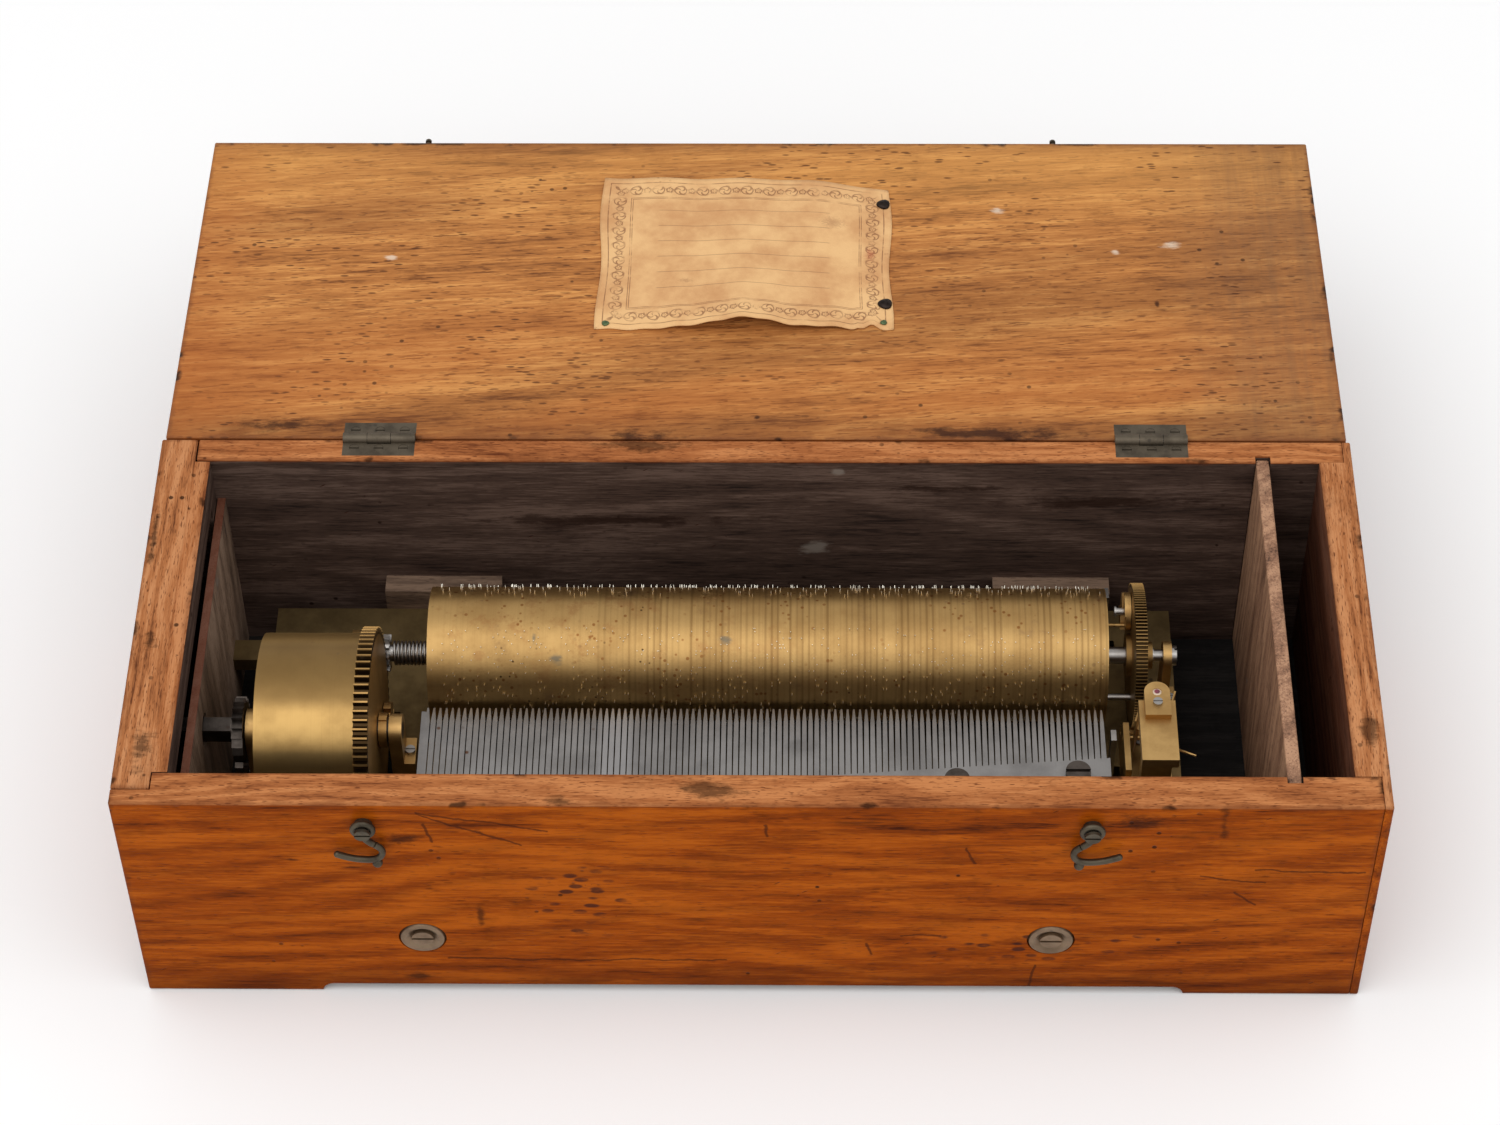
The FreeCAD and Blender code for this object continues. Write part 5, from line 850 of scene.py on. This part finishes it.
pinSteel = metal(
    "pinSteel", tint(226, 220, 206), tint(150, 140, 120), tint(80, 60, 40),
    rough=0.3, mottled=0.4, spotted=0.2, lines=0.0, turnAxis="x",
)
cylinderPins = meshObject("cylinderPins", pinShape, pinSteel)
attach(cylinderPins, "cylinder_body")
print("cylinder pins made,", pinCount)

# tune card, curled at its near edge and torn at one corner
cardShape = {
    "columns": 93,
    "rows": 48,
    "thick": 0.00032,
    "left": -0.0505,
    "width": 0.093,
    "near": 0.04885,
    "depth": 0.072,
    "curl": 0.0048,
    "fall": 0.0058,
}
hingeLine = Vector((0, 0.06985, 0.09265))
lidAlong = Vector((0, math.cos(lidLook["tilt"]), -math.sin(lidLook["tilt"])))
lidUp = Vector((0, math.sin(lidLook["tilt"]), math.cos(lidLook["tilt"])))


def onLid(x, reach, rise):
    return Vector((x, 0, 0)) + hingeLine + lidAlong * reach + lidUp * (rise - 0.00015)


card = bmesh.new()
bmesh.ops.create_grid(card, x_segments=cardShape["columns"], y_segments=cardShape["rows"], size=0.5)
cardMap = card.loops.layers.uv.new("cardMap")
for face in card.faces:
    for loop in face.loops:
        loop[cardMap].uv = (loop.vert.co.x + 0.5, loop.vert.co.y + 0.5)
for vert in card.verts:
    u = vert.co.x + 0.5
    v = vert.co.y + 0.5
    low = 0.0024 * math.exp(-((u - 0.93) / 0.022) ** 2) + 0.0005 * math.sin(u * 41) * math.sin(u * 17)
    low += 0.0009 * math.exp(-((u - 0.885) / 0.012) ** 2)
    high = cardShape["fall"] * max(0.0, (u - 0.55) / 0.45) ** 2 + 0.0004 * math.sin(u * 23) + 0.0004
    reach = cardShape["near"] + low * (1 - v) ** 3 + (cardShape["depth"] - high) * v
    side = 0.0006 * math.sin(v * 9 + 1) * (1 if u > 0.5 else -1) * abs(2 * u - 1) ** 6
    rise = 0.00012 + cardShape["curl"] * math.exp(-((u - 0.50) / 0.17) ** 2) * (1 - v) ** 3
    rise += 0.0009 * (1 - v) ** 6 * math.exp(-((u - 0.78) / 0.08) ** 2) + 0.0006 * v ** 8 * (1 - u)
    rise += 0.0005 * (1 - math.cos(2 * math.pi * u)) * (0.5 + 0.5 * math.sin(v * 5))
    vert.co = onLid(cardShape["left"] + cardShape["width"] * u + side, reach, rise)
bmesh.ops.solidify(card, geom=card.faces[:], thickness=-cardShape["thick"])

cardPrint, start, end = newGroup(
    "cardPrint",
    [("Vector", "Vector", None)],
    [("Ink", "Float"), ("Rules", "Float")],
)
uvAxes = split(cardPrint, start["Vector"])
cardWide = cardShape["width"] * 1000  # the print is laid out in millimetres
cardDeep = cardShape["depth"] * 1000
cardX = times(cardPrint, uvAxes[0], cardWide)
cardY = times(cardPrint, uvAxes[1], cardDeep)
fromSide = calc(cardPrint, "MINIMUM", cardX, calc(cardPrint, "SUBTRACT", cardWide, cardX))
fromEnd = calc(cardPrint, "MINIMUM", cardY, calc(cardPrint, "SUBTRACT", cardDeep, cardY))
fromEdge = calc(cardPrint, "MINIMUM", fromSide, fromEnd)


def line(at, half):
    off = calc(cardPrint, "ABSOLUTE", calc(cardPrint, "SUBTRACT", fromEdge, at))
    return ease(cardPrint, off, half * 1.6, half * 0.6)


ink = line(2.4, 0.16)
for at in (9.4, 10.0):
    ink = calc(cardPrint, "MAXIMUM", ink, line(at, 0.12))
sideways = calc(cardPrint, "LESS_THAN", fromSide, fromEnd)
run = calc(cardPrint, "ADD", times(cardPrint, sideways, cardY),
           times(cardPrint, calc(cardPrint, "SUBTRACT", 1.0, sideways), cardX))
acrossBand = calc(cardPrint, "SUBTRACT", fromEdge, 5.9)
band = ease(cardPrint, calc(cardPrint, "ABSOLUTE", acrossBand), 3.1, 2.8)
for shift, ringAt, lobes, twist in ((0.0, 1.9, 3.0, 2.2), (0.5, 1.0, 5.0, -2.6)):
    cell = calc(cardPrint, "FRACT", calc(cardPrint, "ADD", calc(cardPrint, "DIVIDE", run, 7.2), shift))
    cell = times(cardPrint, calc(cardPrint, "SUBTRACT", cell, 0.5), 7.2)
    away = calc(cardPrint, "SQRT", calc(cardPrint, "ADD", times(cardPrint, cell, cell),
                                        times(cardPrint, acrossBand, acrossBand)))
    turnBy = times(cardPrint, calc(cardPrint, "ARCTAN2", acrossBand, cell), lobes)
    petals = calc(cardPrint, "SINE", calc(cardPrint, "MULTIPLY_ADD", away, twist, turnBy))
    petals = ease(cardPrint, petals, 0.45, 0.75)
    petals = times(cardPrint, petals, ease(cardPrint, away, ringAt + 0.9, ringAt))
    hoop = ease(cardPrint, calc(cardPrint, "ABSOLUTE", calc(cardPrint, "SUBTRACT", away, ringAt)), 0.26, 0.12)
    ink = calc(cardPrint, "MAXIMUM", ink, times(cardPrint, calc(cardPrint, "MAXIMUM", petals, hoop), band))
worn = ease(cardPrint, noise(cardPrint, start["Vector"], 14.0, 4.0, 0.6), 0.30, 0.55)
put(cardPrint, end["Ink"], times(cardPrint, ink, worn))
field = times(cardPrint, ease(cardPrint, cardX, 18.0, 19.0), ease(cardPrint, cardX, 74.0, 73.0))
rules = calc(cardPrint, "ABSOLUTE", calc(cardPrint, "SUBTRACT", calc(cardPrint, "FRACT", calc(
    cardPrint, "DIVIDE", cardY, 7.5)), 0.5))
rules = times(cardPrint, ease(cardPrint, rules, 0.030, 0.012), field)
height = times(cardPrint, ease(cardPrint, cardY, 15.0, 16.0), ease(cardPrint, cardY, 57.0, 56.0))
rules = times(cardPrint, rules, height)
put(cardPrint, end["Rules"], rules)

cardPaper, tree, shader, place = newMaterial("cardPaper")
uvNode = tree.nodes.new("ShaderNodeUVMap")
uvNode.uv_map = "cardMap"
cardUv = uvNode.outputs[0]
printed = useGroup(tree, cardPrint, Vector=cardUv)
age = useGroup(tree, metalAge, Vector=place, Coarse=60.0, Fine=500.0, Spotted=0.35)
edge = useGroup(tree, edgeWear, Vector=cardUv, Low=(0, 0, -1), High=(1, 1, 1), Width=0.02)
color = blend(tree, ease(tree, age["Mottle"], 0.35, 0.72), tint(232, 186, 128), tint(202, 148, 96))
color = painted(tree, color, age["Speckle"], 0.12, tint(170, 118, 72))
color = painted(tree, color, age["Spots"], 0.6, tint(140, 84, 46))
color = painted(tree, color, edge["Edge"], 0.4, tint(150, 100, 62))
color = painted(tree, color, printed["Ink"], 0.75, tint(126, 78, 44))
color = painted(tree, color, printed["Rules"], 0.45, tint(112, 76, 52))
color = blots(tree, cardUv, color, (((0.80, 0.72, 0), (0.055, 0.05, 1)), ((0.30, 0.30, 0), (0.03, 0.02, 1))),
              tint(150, 100, 62), 0.45)
color = blots(tree, cardUv, color, (((0.93, 0.52, 0), (0.025, 0.06, 1)),), tint(172, 82, 50), 0.5)
put(tree, shader.inputs["Base Color"], color)
put(tree, shader.inputs["Roughness"], calc(tree, "MULTIPLY_ADD", age["Mottle"], 0.2, 0.68))
bumps = calc(tree, "MULTIPLY_ADD", age["Speckle"], 0.5, age["Mottle"])
bumped(tree, shader, bumps, 0.0003, 0.4)
tuneCard = meshObject("tuneCard", card, cardPaper, smooth=True)
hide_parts("tune_card")
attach(tuneCard, "lid")
print("tune card made")

# two broad black tacks and two small green pins
tackSet = {
    "broad": ((0.0405, 0.10785, 0.0022), (0.0405, 0.06035, 0.0023)),
    "small": ((0.0399, 0.05185, 0.0011), (-0.0475, 0.05125, 0.0012)),
}
blackTack = metal(
    "blackTack", tint(52, 44, 40), tint(28, 22, 20), tint(90, 60, 40),
    rough=0.4, mottled=0.7, spotted=0.4, lines=0.0, turnAxis="x", coarse=700.0,
)
greenTack = metal(
    "greenTack", tint(92, 112, 74), tint(56, 72, 44), tint(110, 90, 40),
    rough=0.45, mottled=0.7, spotted=0.4, lines=0.0, turnAxis="x", metallic=0.6, coarse=900.0,
)
for label, look in (("broad", blackTack), ("small", greenTack)):
    tacks = bmesh.new()
    for x, reach, radius in tackSet[label]:
        dome = bmesh.ops.create_uvsphere(tacks, u_segments=24, v_segments=12, radius=radius)["verts"]
        low = [vert for vert in dome if vert.co.z < -0.01 * radius]
        bmesh.ops.delete(tacks, geom=low, context="VERTS")
        kept = [vert for vert in dome if vert.is_valid]
        for vert in kept:
            swell = 1 + 0.07 * math.sin(3 * math.atan2(vert.co.y, vert.co.x) + x * 900)
            vert.co = onLid(x + vert.co.x * swell, reach + vert.co.y * swell, 0.0006 + vert.co.z * 0.5)
    rimEdges = [item for item in tacks.edges if item.is_boundary]
    bmesh.ops.holes_fill(tacks, edges=rimEdges, sides=0)
    cardTacks = meshObject(label + "Tacks", tacks, look, smooth=True)
    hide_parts("card_tacks")
    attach(cardTacks, "lid")
print("card tacks made")

# wire rest that stands out from the governor's pillar
wireRest = {"start": (0.1222, -0.0240, 0.0620), "end": (0.1306, -0.0274, 0.0617), "radius": 0.00045}
wire = bmesh.new()
wireStart, wireEnd = Vector(wireRest["start"]), Vector(wireRest["end"])
heading = (wireEnd - wireStart).to_track_quat("Z", "Y").to_matrix().to_4x4()
bmesh.ops.create_cone(
    wire,
    cap_ends=True,
    segments=16,
    radius1=wireRest["radius"],
    radius2=wireRest["radius"] * 0.8,
    depth=(wireEnd - wireStart).length,
    matrix=Matrix.Translation((wireStart + wireEnd) / 2) @ heading,
)
tipEdges = [item for item in wire.edges if all(vert.co.x > wireEnd.x - 0.0006 for vert in item.verts)]
bmesh.ops.bevel(wire, geom=tipEdges, offset=0.00012, offset_type="OFFSET", segments=2, profile=0.5,
                affect="EDGES", material=-1)
governorWire = meshObject("governorWire", wire, brass, smooth=True)
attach(governorWire, "case")
print("governor wire made")

# arbor spring: the frame's spring with its doubled points welded, carried by the arbor; on the real box it
# shortens as the cylinder shifts towards the barrel
arborSpring = {"node": "cylinder_spring", "joint": "tune_shift", "travel": 0.00141, "weld": 0.000002}
coil = bmesh.new()
coil.from_mesh(nodes[arborSpring["node"]].data)
bmesh.ops.remove_doubles(coil, verts=coil.verts, dist=arborSpring["weld"])
arborCoil = meshObject("arborCoil", coil, steel, smooth=True)
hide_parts(arborSpring["node"])
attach(arborCoil, "arbor")
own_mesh(arborCoil)

# floor, lamps, camera
stageLook = {
    "floor": (0.96, 0.96, 0.96, 1.0),
    "sky": 0.775,
    "aim": (0, 0, 0.05),
    "key": {"place": (-0.5, -0.5, 1.5), "size": (1.8, 1.5), "power": 10.0},
    "fill": {"place": (0.9, -0.3, 1.2), "size": (1.2, 1.2), "power": 3.0},
}
floorShape = bmesh.new()
bmesh.ops.create_grid(floorShape, x_segments=2, y_segments=2, size=6.0)
floorPaint, tree, shader, place = newMaterial("floorPaint")
shader.inputs["Base Color"].default_value = stageLook["floor"]
shader.inputs["Roughness"].default_value = 0.9
floor = meshObject("floor", floorShape, floorPaint)
floor.location.z = -0.0002
world = bpy.data.worlds.new("softSky")
bpy.context.scene.world = world
world.use_nodes = True
world.node_tree.nodes["Background"].inputs["Color"].default_value = (1, 1, 1, 1)
world.node_tree.nodes["Background"].inputs["Strength"].default_value = stageLook["sky"]


def lamp(name, place, aim, size, power):
    data = bpy.data.lights.new(name, "AREA")
    data.shape = "RECTANGLE"
    data.size, data.size_y = size
    data.energy = power
    made = bpy.data.objects.new(name, data)
    bpy.context.scene.collection.objects.link(made)
    made.location = place
    made.rotation_euler = (Vector(aim) - Vector(place)).to_track_quat("-Z", "Y").to_euler()
    return made


lamp("keyLamp", aim=stageLook["aim"], **stageLook["key"])
lamp("fillLamp", aim=stageLook["aim"], **stageLook["fill"])

cameraLook = {
    "lens": 91.84,
    "place": (0.0151, -0.7167, 0.9544),
    "right": (0.99990, 0.01136, -0.00885),
    "up": (-0.00288, 0.75988, 0.65005),
}
cameraData = bpy.data.cameras.new("camera")
cameraData.sensor_width = 36.0
cameraData.lens = cameraLook["lens"]
camera = bpy.data.objects.new("camera", cameraData)
bpy.context.scene.collection.objects.link(camera)
cameraRight = Vector(cameraLook["right"]).normalized()
cameraUp = Vector(cameraLook["up"]).normalized()
cameraBack = cameraRight.cross(cameraUp)
turn = Matrix((cameraRight, cameraUp, cameraBack)).transposed().to_4x4()
camera.matrix_world = Matrix.Translation(cameraLook["place"]) @ turn
bpy.context.scene.camera = camera
bpy.context.scene.view_settings.view_transform = "Standard"
print("stage made")
